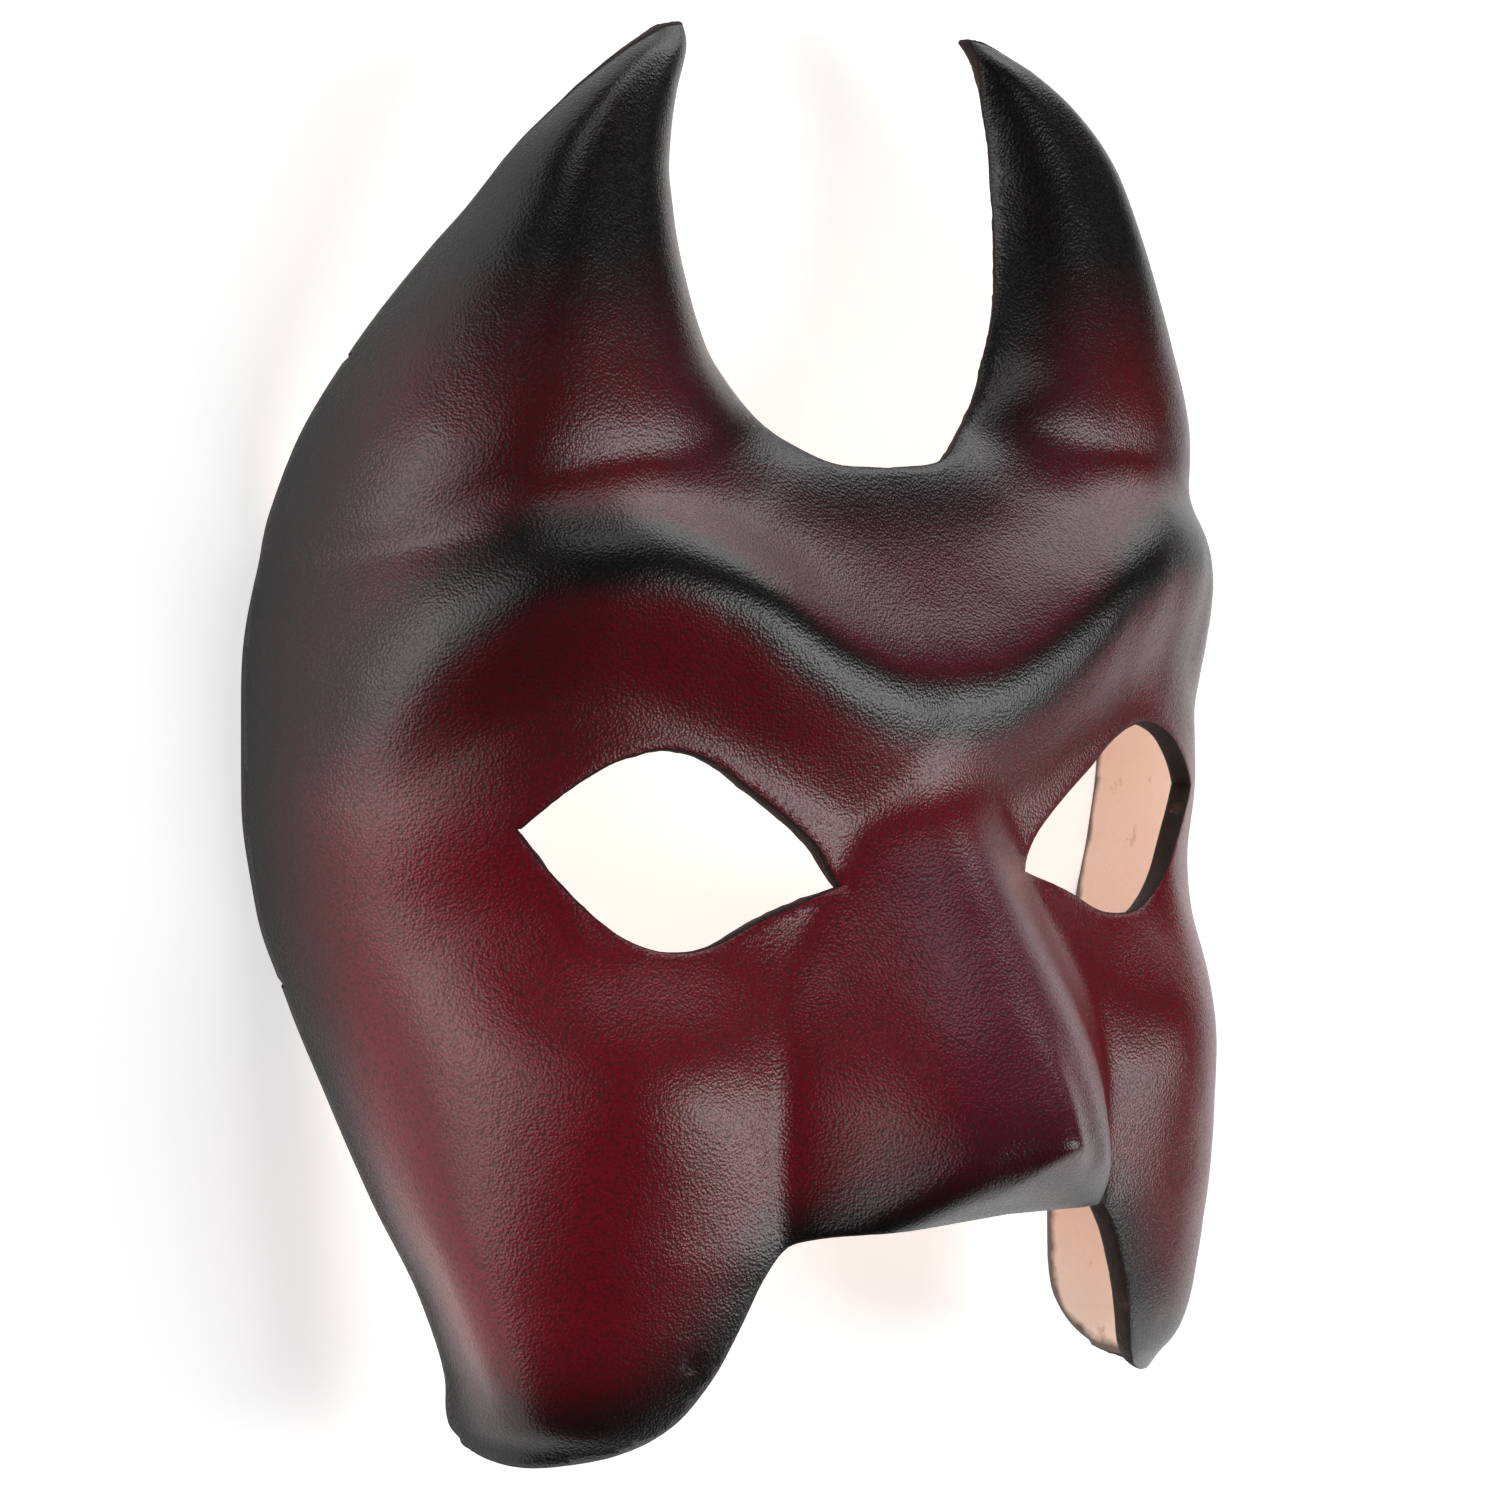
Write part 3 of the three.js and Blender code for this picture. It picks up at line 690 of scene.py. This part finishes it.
def edge_rings(outer, inner, thin, triangles, sizes):
    """The names of the points along the rim, and the rings of points across its cut edge."""
    follow = dict(rim_edges(triangles).tolist())
    lead = {end: start for start, end in follow.items()}
    rim_names = np.array(sorted(follow))
    ahead = np.array([follow[i] for i in rim_names.tolist()])
    behind = np.array([lead[i] for i in rim_names.tolist()])
    away = unit(np.cross(unit(outer[ahead] - outer[behind]), thin[rim_names]))
    rng = np.random.default_rng(EDGE_SEED)
    rings = []
    for depth in RING_DEPTHS:
        bulge = math.sqrt(1 - abs(2 * depth - 1) ** BULGE_POWER) * sizes.edge_round / MM
        across = outer[rim_names] * (1 - depth) + inner[rim_names] * depth
        grit = rng.normal(0, GRIT_SHARE, len(across))
        nicks = NICK_SHARE * ripple(across, NICK_LENGTH, NICK_START + depth)
        rough = sizes.edge_rough / MM * (nicks + grit)
        rough = rough * min(1, ROUGH_RISE * depth, ROUGH_RISE * (1 - depth))
        rings.append(across + away * (bulge + rough)[:, None])
    return rim_names, rings


# The finishes' places in the sheet's list of materials.
OUTER, CUT_EDGE, FLESH = range(3)


def leather_mesh(sizes):
    """Points in millimetres, faces, the finish of each face and the shades at each point."""
    pattern = Pattern(sizes.cell / MM)
    thickness = sizes.thickness / MM
    used = np.unique(pattern.triangles)
    renamed = np.zeros(len(pattern.place), int)
    renamed[used] = np.arange(len(used))
    right = renamed[pattern.triangles]
    turn, up = pattern.place[used].T
    outer = face_point(turn, up)
    inner = inner_point(turn, up, pattern.on_cut[used], thickness)
    from_outline = nearest_on(pattern.outline, pattern.place[used])[1]
    from_cut = pattern.nearest_cut(pattern.place[used])[1]
    on_centre = pattern.column[used] == 0
    outer[on_centre, 0] = 0
    inner[on_centre, 0] = 0

    # The left half mirrors the right one and shares its centre line.
    left_name = np.where(on_centre, np.arange(len(used)), len(used) + np.cumsum(~on_centre) - 1)
    mirror = np.array([-1, 1, 1])
    outer = np.concatenate([outer, outer[~on_centre] * mirror])
    inner = np.concatenate([inner, inner[~on_centre] * mirror])
    twice = np.concatenate([np.arange(len(used)), np.flatnonzero(~on_centre)])
    turn, up, from_outline, from_cut = (value[twice] for value in (turn, up, from_outline, from_cut))
    triangles = np.concatenate([right, left_name[right][:, ::-1]])

    thin = unit(outer - inner)
    pit = pit_share(outer)
    outer = formed(outer, thin, from_cut, pit, sizes.hammering / MM)
    rim_names, ring_points = edge_rings(outer, inner, thin, triangles, sizes)
    ring_names = 2 * len(outer) + np.arange(len(rim_names) * len(ring_points))
    rings = [rim_names, *np.split(ring_names, len(ring_points)), rim_names + len(outer)]
    place_in_rim = {name: i for i, name in enumerate(rim_names.tolist())}
    rim = rim_edges(triangles)
    start, end = np.array([[place_in_rim[i] for i in edge] for edge in rim.tolist()]).T

    faces = [*triangles.tolist(), *(triangles[:, ::-1] + len(outer)).tolist()]
    finish = [OUTER] * len(triangles) + [FLESH] * len(triangles)
    for near, far in zip(rings[:-1], rings[1:]):
        faces += np.stack([near[end], near[start], far[start], far[end]], -1).tolist()
        finish += [CUT_EDGE] * len(start)

    across = np.abs(outer[:, 0])
    shades = {
        # The pit's hollow is painted black: painted shade.
        "blacking": np.maximum(black_dye_and_shade(across, up, from_outline), pit),
        "plum": plum_tint(across, up),
        "from_cut": from_cut,
    }
    at_rim = {"blacking": 1.0, "plum": 0.0, "from_cut": 0.0}
    spare = len(ring_names)
    shades = {
        name: np.concatenate([value, value, np.full(spare, at_rim[name])])
        for name, value in shades.items()
    }
    return np.concatenate([outer, inner, *ring_points]), faces, finish, shades


def set_down(points):
    """Moves the points from the drawing's place to the CAD part's, in metres."""
    low, high = (np.array(corner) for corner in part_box("leather_mask"))
    drawn = points[:, 1]
    up_shift = (low[1] + high[1]) / 2 - (drawn.min() + drawn.max()) / 2 * MM
    placed = points * MM + np.array([0, up_shift, -REST_DEPTH * MM])
    placed[:, 2] = np.maximum(placed[:, 2], 0)
    return placed


class Amount:
    """A number that varies over a surface. Sums on it add Math nodes."""

    def __init__(self, finish, socket):
        self.finish = finish
        self.socket = socket

    def worked(self, operation, *values):
        return self.finish.node("ShaderNodeMath", {"operation": operation}, dict(enumerate(values)))

    def __add__(self, other):
        return self.worked("ADD", self, other)

    def __sub__(self, other):
        return self.worked("SUBTRACT", self, other)

    def __rsub__(self, other):
        return self.worked("SUBTRACT", other, self)

    def __mul__(self, other):
        return self.worked("MULTIPLY", self, other)

    def __pow__(self, other):
        return self.worked("POWER", self, other)

    __radd__ = __add__
    __rmul__ = __mul__

    def clamped(self):
        return self.worked("MINIMUM", self.worked("MAXIMUM", self, 0), 1)


# How softly one pebble of the grain runs into the next.
PEBBLE_SMOOTHNESS = 0.35

# A Mix node's colour sockets go by number, because their names repeat.
MIX_FIRST = 6
MIX_SECOND = 7
MIX_RESULT = 2


class Finish:
    """One material and the nodes that make it."""

    def __init__(self, name):
        self.material = bpy.data.materials.new(name)
        self.material.use_nodes = True
        self.tree = self.material.node_tree
        self.tree.nodes.clear()
        self.place = self.node("ShaderNodeTexCoord", output="Object")

    def node(self, kind, settings=None, values=None, output=0):
        """Adds a node: its settings first, then the values or links of its sockets."""
        node = self.tree.nodes.new(kind)
        for name, setting in (settings or {}).items():
            if name == "stops":
                self.set_stops(node.color_ramp, setting)
            else:
                setattr(node, name, setting)
        for name, value in (values or {}).items():
            if isinstance(value, Amount):
                self.tree.links.new(value.socket, node.inputs[name])
            else:
                node.inputs[name].default_value = value
        return Amount(self, node.outputs[output])

    @staticmethod
    def set_stops(ramp, stops):
        while len(ramp.elements) < len(stops):
            ramp.elements.new(1)
        for element, (position, value) in zip(ramp.elements, stops):
            element.position = position
            element.color = (value, value, value, 1)

    def shade(self, name):
        return self.node("ShaderNodeAttribute", {"attribute_name": name}, output="Fac")

    def noise(self, size, detail=2.0, roughness=0.5):
        """Cloudy numbers from 0 to 1 whose clouds are about a given size in metres."""
        values = {"Vector": self.place, "Scale": 1 / size, "Detail": detail, "Roughness": roughness}
        return self.node("ShaderNodeTexNoise", {}, values, "Fac")

    def pebbles(self, size):
        """Numbers from 0 in the middle of a pebble of the grain to about 1 in its furrows."""
        values = {"Vector": self.place, "Scale": 1 / size, "Smoothness": PEBBLE_SMOOTHNESS}
        return self.node("ShaderNodeTexVoronoi", {"feature": "SMOOTH_F1"}, values, "Distance")

    def ramp(self, value, *stops):
        return self.node("ShaderNodeValToRGB", {"stops": stops}, {"Fac": value})

    def mixed(self, first, second, amount):
        values = {"Factor": amount, MIX_FIRST: first, MIX_SECOND: second}
        return self.node("ShaderNodeMix", {"data_type": "RGBA"}, values, MIX_RESULT)

    def bump(self, height, distance, strength, under=None):
        values = {"Height": height, "Distance": distance, "Strength": strength}
        if under:
            values["Normal"] = under
        return self.node("ShaderNodeBump", {}, values)

    def surface(self, colour, roughness, normal, **fixed):
        values = {"Base Color": colour, "Roughness": roughness, "Normal": normal}
        values.update({name.replace("_", " "): value for name, value in fixed.items()})
        shader = self.node("ShaderNodeBsdfPrincipled", {}, values)
        self.node_output(shader)
        return self.material

    def node_output(self, shader):
        output = self.tree.nodes.new("ShaderNodeOutputMaterial")
        self.tree.links.new(shader.socket, output.inputs["Surface"])


def solid(colour):
    return (*colour, 1.0)


# Clouds of the finishes: their size in metres, levels of detail and roughness.
DYE_CLOUD = (0.016, 3)
DYE_SPECK = (0.0012, 2)
SKIN_PULL = (0.0035, 2)
EDGE_FIBRES = (0.0005, 4, 0.7)
BARE_SPOTS = (0.0022, 4, 0.65)
FLESH_NAP = (0.0007, 4, 0.7)
FLESH_CLOUD = (0.02, 3)
FLESH_STAINS = (0.006, 4, 0.6)
BLEED_LINE = (0.003, 3)
LONG_NAP = (0.0025, 2)
FLOOR_TOOTH = (0.004, 2)

# Depths of the nap of the leather and of the tooth of the table, in metres.
NAP_DEPTH = 0.0003
TOOTH_DEPTH = 0.0002

# Where bare fibres and stains start to show in their clouds, and where they show in full.
BARE_STOPS = ((0.6, 0), (0.74, 1))
STAIN_STOPS = ((0.62, 0), (0.72, 1))

# The dyed side: shares of each tint, the furrows of the grain with their painted shade, and how rough
# it is.
PLUM_SHARE = 0.8
CLOUD_IN_BLACK = 0.12
SPECK_IN_BLACK = 0.1
FURROW_GAIN = 1.35
FURROW_POWER = 3
FURROW_PAINTED_SHADE = 0.55
DYED_ROUGHNESS = 0.23
CLOUD_ROUGHNESS = 0.07
FURROW_ROUGHNESS = 0.1
FINE_GRAIN_SIZE = 0.5
FINE_GRAIN_SHARE = 0.35
GRAIN_STRENGTH = 0.9
PULL_STRENGTH = 0.05

# The cut edge and the flesh side in the same way. The dye bleeds in by some millimetres.
LEAST_BARE = 0.1
EDGE_ROUGHNESS = 0.72
FIBRE_ROUGHNESS = 0.2
EDGE_NAP_STRENGTH = 0.8
NAP_SHARE = 0.5
STAIN_SHARE = 0.5
BLEED_REACH = 0.7
BLEED_VARIES = 1.6
BLEED_SHARE = 0.8
LONG_NAP_SHARE = 0.6
FLESH_ROUGHNESS = 0.9
FLESH_NAP_STRENGTH = 0.7

# The table: how much darker its second shade is, how rough it is and how strong its tooth.
FLOOR_SHADE = 0.97
FLOOR_ROUGHNESS = 0.9
TOOTH_STRENGTH = 0.1


def dyed_leather(look):
    """Oxblood leather with a pebbled grain and airbrushed black, with painted shade in the grain's
    furrows, in the pit and over part of the upper half.
    """
    finish = Finish("dyed_leather")
    cloud = finish.noise(*DYE_CLOUD)
    speck = finish.noise(*DYE_SPECK)
    pebble = finish.pebbles(look.grain_size)
    red = finish.mixed(solid(look.oxblood), solid(look.oxblood_deep), cloud)
    red = finish.mixed(red, solid(look.plum), finish.shade("plum") * PLUM_SHARE)
    # This black is airbrushed dye, with painted shade over the upper half and in the pit.
    black = finish.shade("blacking") + (cloud - 0.5) * CLOUD_IN_BLACK + (speck - 0.5) * SPECK_IN_BLACK
    colour = finish.mixed(red, solid(look.black), black.clamped())
    furrow = ((pebble * FURROW_GAIN) ** FURROW_POWER).clamped()
    # The grain's furrows are darkened towards black: painted shade in the creases.
    colour = finish.mixed(colour, solid(look.black), furrow * FURROW_PAINTED_SHADE)
    roughness = DYED_ROUGHNESS + cloud * CLOUD_ROUGHNESS + furrow * FURROW_ROUGHNESS
    fine_grain = finish.noise(look.grain_size * FINE_GRAIN_SIZE)
    height = (1 - pebble) + fine_grain * FINE_GRAIN_SHARE
    grain = finish.bump(height, look.grain_depth, GRAIN_STRENGTH)
    pull = finish.bump(finish.noise(*SKIN_PULL), NAP_DEPTH, PULL_STRENGTH, grain)
    return finish.surface(colour, roughness, pull, Specular_IOR_Level=0.5)


def cut_edge(look):
    """The cut through the hide, dyed black over its fibres."""
    finish = Finish("cut_edge")
    fibre = finish.noise(*EDGE_FIBRES)
    bare = finish.ramp(finish.noise(*BARE_SPOTS), *BARE_STOPS)
    colour = finish.mixed(solid(look.black), solid(look.edge_fibre), LEAST_BARE + bare * fibre)
    roughness = EDGE_ROUGHNESS + fibre * FIBRE_ROUGHNESS
    nap = finish.bump(fibre, NAP_DEPTH, EDGE_NAP_STRENGTH)
    return finish.surface(colour, roughness, nap, Specular_IOR_Level=0.35)


def flesh_side(look):
    """The undyed suede of the inner face, stained a little by the dye at its edges, and lightened as
    painted light on the shaded inner face.
    """
    finish = Finish("flesh_side")
    nap = finish.noise(*FLESH_NAP)
    cloud = finish.noise(*FLESH_CLOUD)
    colour = finish.mixed(solid(look.flesh_with_painted_light), solid(look.flesh_shade), cloud)
    colour = finish.mixed(colour, solid(look.flesh_shade), nap * NAP_SHARE)
    stain = finish.ramp(finish.noise(*FLESH_STAINS), *STAIN_STOPS)
    colour = finish.mixed(colour, solid(look.stain), stain * STAIN_SHARE)
    reach = BLEED_REACH + finish.noise(*BLEED_LINE) * BLEED_VARIES
    bleed = (reach - finish.shade("from_cut")).clamped()
    colour = finish.mixed(colour, solid(look.black), bleed * BLEED_SHARE)
    height = nap + finish.noise(*LONG_NAP) * LONG_NAP_SHARE
    rough = finish.bump(height, NAP_DEPTH, FLESH_NAP_STRENGTH)
    return finish.surface(colour, FLESH_ROUGHNESS, rough, Specular_IOR_Level=0.2)


def a_length(name, description, millimetres):
    return bpy.props.FloatProperty(
        name=name, description=description, default=millimetres * MM, subtype="DISTANCE", precision=5
    )


def a_colour(name, description, default):
    return bpy.props.FloatVectorProperty(
        name=name, description=description, default=default, subtype="COLOR", min=0, max=1
    )


class MaskSizes(bpy.types.PropertyGroup):
    thickness: a_length("Thickness", "Thickness of the leather", 2.6)
    cell: a_length("Mesh cell", "Length of one facet of the mesh", 0.95)
    edge_round: a_length("Edge rounding", "How far the middle of a cut edge stands out", 0.4)
    edge_rough: a_length("Edge roughness", "Depth of the nicks along a cut edge", 0.09)
    hammering: a_length("Hammering", "Depth of the dents left by forming the leather", 0.03)


class LeatherLook(bpy.types.PropertyGroup):
    oxblood: a_colour("Oxblood", "Dyed leather at its lightest", (0.23, 0.005, 0.017))
    oxblood_deep: a_colour("Deep oxblood", "Dyed leather at its darkest", (0.14, 0.003, 0.009))
    plum: a_colour("Plum", "Tint of the forehead and the nose", (0.1, 0.006, 0.03))
    black: a_colour("Black", "Airbrushed dye", (0.002, 0.0018, 0.0019))
    edge_fibre: a_colour("Edge fibre", "Bare fibres in a cut edge", (0.17, 0.07, 0.045))
    # Both flesh colours are partly the pale suede's own colour and partly painted light that brightens
    # the shaded inner face.
    flesh_with_painted_light: a_colour("Flesh side", "Undyed inner face", (0.95, 0.83, 0.75))
    flesh_shade: a_colour("Flesh side shade", "Darker nap of the inner face", (0.85, 0.57, 0.44))
    stain: a_colour("Stain", "Brown marks on the inner face", (0.2, 0.06, 0.03))
    grain_size: a_length("Grain size", "Width of one pebble of the grain", 0.36)
    grain_depth: a_length("Grain depth", "Depth of the furrows of the grain", 0.055)


class StudioLook(bpy.types.PropertyGroup):
    floor: a_colour("Floor", "Colour of the table", (0.92, 0.92, 0.92))
    floor_glow: bpy.props.FloatProperty(
        name="Floor glow", description="Light that the table gives off", default=0.56, min=0
    )
    ambient: bpy.props.FloatProperty(
        name="Ambient light", description="Even light from all round", default=0.03, min=0
    )
    power: bpy.props.FloatProperty(
        name="Light power",
        description="Power of a softbox whose share is 1",
        default=7.8,
        subtype="POWER",
    )


class MESH_OT_leather_mask(bpy.types.Operator):
    """Adds the formed leather sheet, with its grain, cut edges and flesh side"""

    bl_idname = "mesh.leather_mask_add"
    bl_label = "Leather Mask"
    bl_options = {"REGISTER", "UNDO"}

    def execute(self, context):
        sizes = context.scene.leather_mask_sizes
        look = context.scene.leather_mask_look
        points, faces, finish, shades = leather_mesh(sizes)
        placed = set_down(points)
        mesh = bpy.data.meshes.new("formed_leather")
        mesh.from_pydata(placed.tolist(), [], faces)
        mesh.polygons.foreach_set("material_index", finish)
        mesh.polygons.foreach_set("use_smooth", [True] * len(faces))
        for name, value in shades.items():
            shade = mesh.attributes.new(name, "FLOAT", "POINT")
            shade.data.foreach_set("value", value.astype(np.float32))
        for material in (dyed_leather(look), cut_edge(look), flesh_side(look)):
            mesh.materials.append(material)
        mesh.update()
        if mesh.validate(verbose=False):
            raise RuntimeError("the leather's mesh has faults")
        sheet = bpy.data.objects.new("formed_leather", mesh)
        context.scene.collection.objects.link(sheet)
        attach(sheet, "root")
        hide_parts("leather_mask")
        return {"FINISHED"}


# The camera looks at the drawing's origin, turned left of the mask's front and a little
# above its middle, with the mask's height upright in the picture. Its turn and rise are in
# degrees, SENSOR and DRAWN_MIDDLE in millimetres and the other distances in metres.
CAMERA_TURN = 42.5
CAMERA_RISE = 3.6
CAMERA_AWAY = 0.7
FOCAL_PIXELS = 5600
PICTURE_PIXELS = 1500
SENSOR = 36
DRAWN_MIDDLE = 3.74
CLIP_START = 0.05
CLIP_END = 20
FLOOR_REACH = 2.0


def camera_axes():
    turn = math.radians(CAMERA_TURN)
    rise = math.radians(CAMERA_RISE)
    back = Vector((-math.sin(turn) * math.cos(rise), math.sin(rise), math.cos(turn) * math.cos(rise)))
    right = Vector((math.cos(turn), 0, math.sin(turn)))
    return right, back.cross(right), back


# Softboxes: where each stands as seen from the camera (right, up, towards the camera),
# how far away, how wide and tall, and its share of the power.
SOFTBOXES = {
    "right_softbox": ((0.95, -0.16, 0.24), 1.0, (0.3, 0.75), 0.56),
    "top_softbox": ((0.58, 0.8, -0.12), 1.1, (0.8, 0.45), 0.48),
    "front_softbox": ((0.35, 0.75, 0.55), 1.2, (0.7, 0.3), 0.2),
    "left_softbox": ((-0.84, -0.05, 0.46), 1.2, (1.3, 1.6), 2.1),
    "fill_softbox": ((-0.45, 0.05, 0.89), 1.2, (0.5, 1.1), 0.42),
    "low_softbox": ((0.7, -0.64, -0.32), 1.0, (0.6, 0.35), 0.14),
}


class SCENE_OT_leather_mask_studio(bpy.types.Operator):
    """Adds a pale lit table, six softboxes and the camera"""

    bl_idname = "scene.leather_mask_studio_add"
    bl_label = "Studio"
    bl_options = {"REGISTER", "UNDO"}

    def execute(self, context):
        scene = context.scene
        look = scene.leather_mask_studio
        low, high = (np.array(corner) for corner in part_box("leather_mask"))
        target = Vector((0, (low[1] + high[1]) / 2 - DRAWN_MIDDLE * MM, -REST_DEPTH * MM))
        self.add_floor(scene, look)
        self.add_camera(scene, target)
        right, up, back = camera_axes()
        for name, (way, distance, size, share) in SOFTBOXES.items():
            direction = (right * way[0] + up * way[1] + back * way[2]).normalized()
            lamp = bpy.data.lights.new(name, "AREA")
            lamp.shape = "RECTANGLE"
            lamp.size, lamp.size_y = size
            lamp.energy = look.power * share
            holder = bpy.data.objects.new(name, lamp)
            holder.location = target + direction * distance
            holder.rotation_mode = "QUATERNION"
            holder.rotation_quaternion = direction.to_track_quat("Z", "Y")
            scene.collection.objects.link(holder)
        world = bpy.data.worlds.new("studio_air")
        world.use_nodes = True
        background = world.node_tree.nodes["Background"]
        background.inputs["Color"].default_value = (1, 1, 1, 1)
        background.inputs["Strength"].default_value = look.ambient
        scene.world = world
        scene.view_settings.view_transform = "Standard"
        return {"FINISHED"}

    def add_floor(self, scene, look):
        turns = [(-1, -1), (1, -1), (1, 1), (-1, 1)]
        corners = [(x * FLOOR_REACH, y * FLOOR_REACH, 0) for x, y in turns]
        mesh = bpy.data.meshes.new("floor")
        mesh.from_pydata(corners, [], [(0, 1, 2, 3)])
        finish = Finish("pale_floor")
        tooth = finish.noise(*FLOOR_TOOTH)
        shade = [FLOOR_SHADE * value for value in look.floor]
        colour = finish.mixed(solid(look.floor), solid(shade), tooth)
        rough = finish.bump(tooth, TOOTH_DEPTH, TOOTH_STRENGTH)
        glow = {"Emission_Color": (1, 1, 1, 1), "Emission_Strength": look.floor_glow}
        mesh.materials.append(finish.surface(colour, FLOOR_ROUGHNESS, rough, **glow))
        floor = bpy.data.objects.new("floor", mesh)
        scene.collection.objects.link(floor)

    def add_camera(self, scene, target):
        right, up, back = camera_axes()
        data = bpy.data.cameras.new("photo_view")
        data.sensor_width = SENSOR
        data.lens = FOCAL_PIXELS / PICTURE_PIXELS * SENSOR
        data.clip_start = CLIP_START
        data.clip_end = CLIP_END
        camera = bpy.data.objects.new("photo_view", data)
        turned = Matrix((right, up, back)).transposed().to_4x4()
        camera.matrix_world = Matrix.Translation(target + back * CAMERA_AWAY) @ turned
        scene.collection.objects.link(camera)
        scene.camera = camera


class VIEW3D_PT_leather_mask(bpy.types.Panel):
    bl_label = "Leather Mask"
    bl_idname = "VIEW3D_PT_leather_mask"
    bl_space_type = "VIEW_3D"
    bl_region_type = "UI"
    bl_category = "Leather Mask"

    def draw(self, context):
        layout = self.layout
        scene = context.scene
        for group in (scene.leather_mask_sizes, scene.leather_mask_look, scene.leather_mask_studio):
            box = layout.box()
            for name in group.__annotations__:
                box.prop(group, name)
        layout.operator(MESH_OT_leather_mask.bl_idname)
        layout.operator(SCENE_OT_leather_mask_studio.bl_idname)


CLASSES = (
    MaskSizes,
    LeatherLook,
    StudioLook,
    MESH_OT_leather_mask,
    SCENE_OT_leather_mask_studio,
    VIEW3D_PT_leather_mask,
)


def register():
    for each in CLASSES:
        bpy.utils.register_class(each)
    bpy.types.Scene.leather_mask_sizes = bpy.props.PointerProperty(type=MaskSizes)
    bpy.types.Scene.leather_mask_look = bpy.props.PointerProperty(type=LeatherLook)
    bpy.types.Scene.leather_mask_studio = bpy.props.PointerProperty(type=StudioLook)


def unregister():
    del bpy.types.Scene.leather_mask_studio
    del bpy.types.Scene.leather_mask_look
    del bpy.types.Scene.leather_mask_sizes
    for each in reversed(CLASSES):
        bpy.utils.unregister_class(each)


def main():
    register()
    bpy.ops.mesh.leather_mask_add()
    bpy.ops.scene.leather_mask_studio_add()


if __name__ == "__main__":
    main()
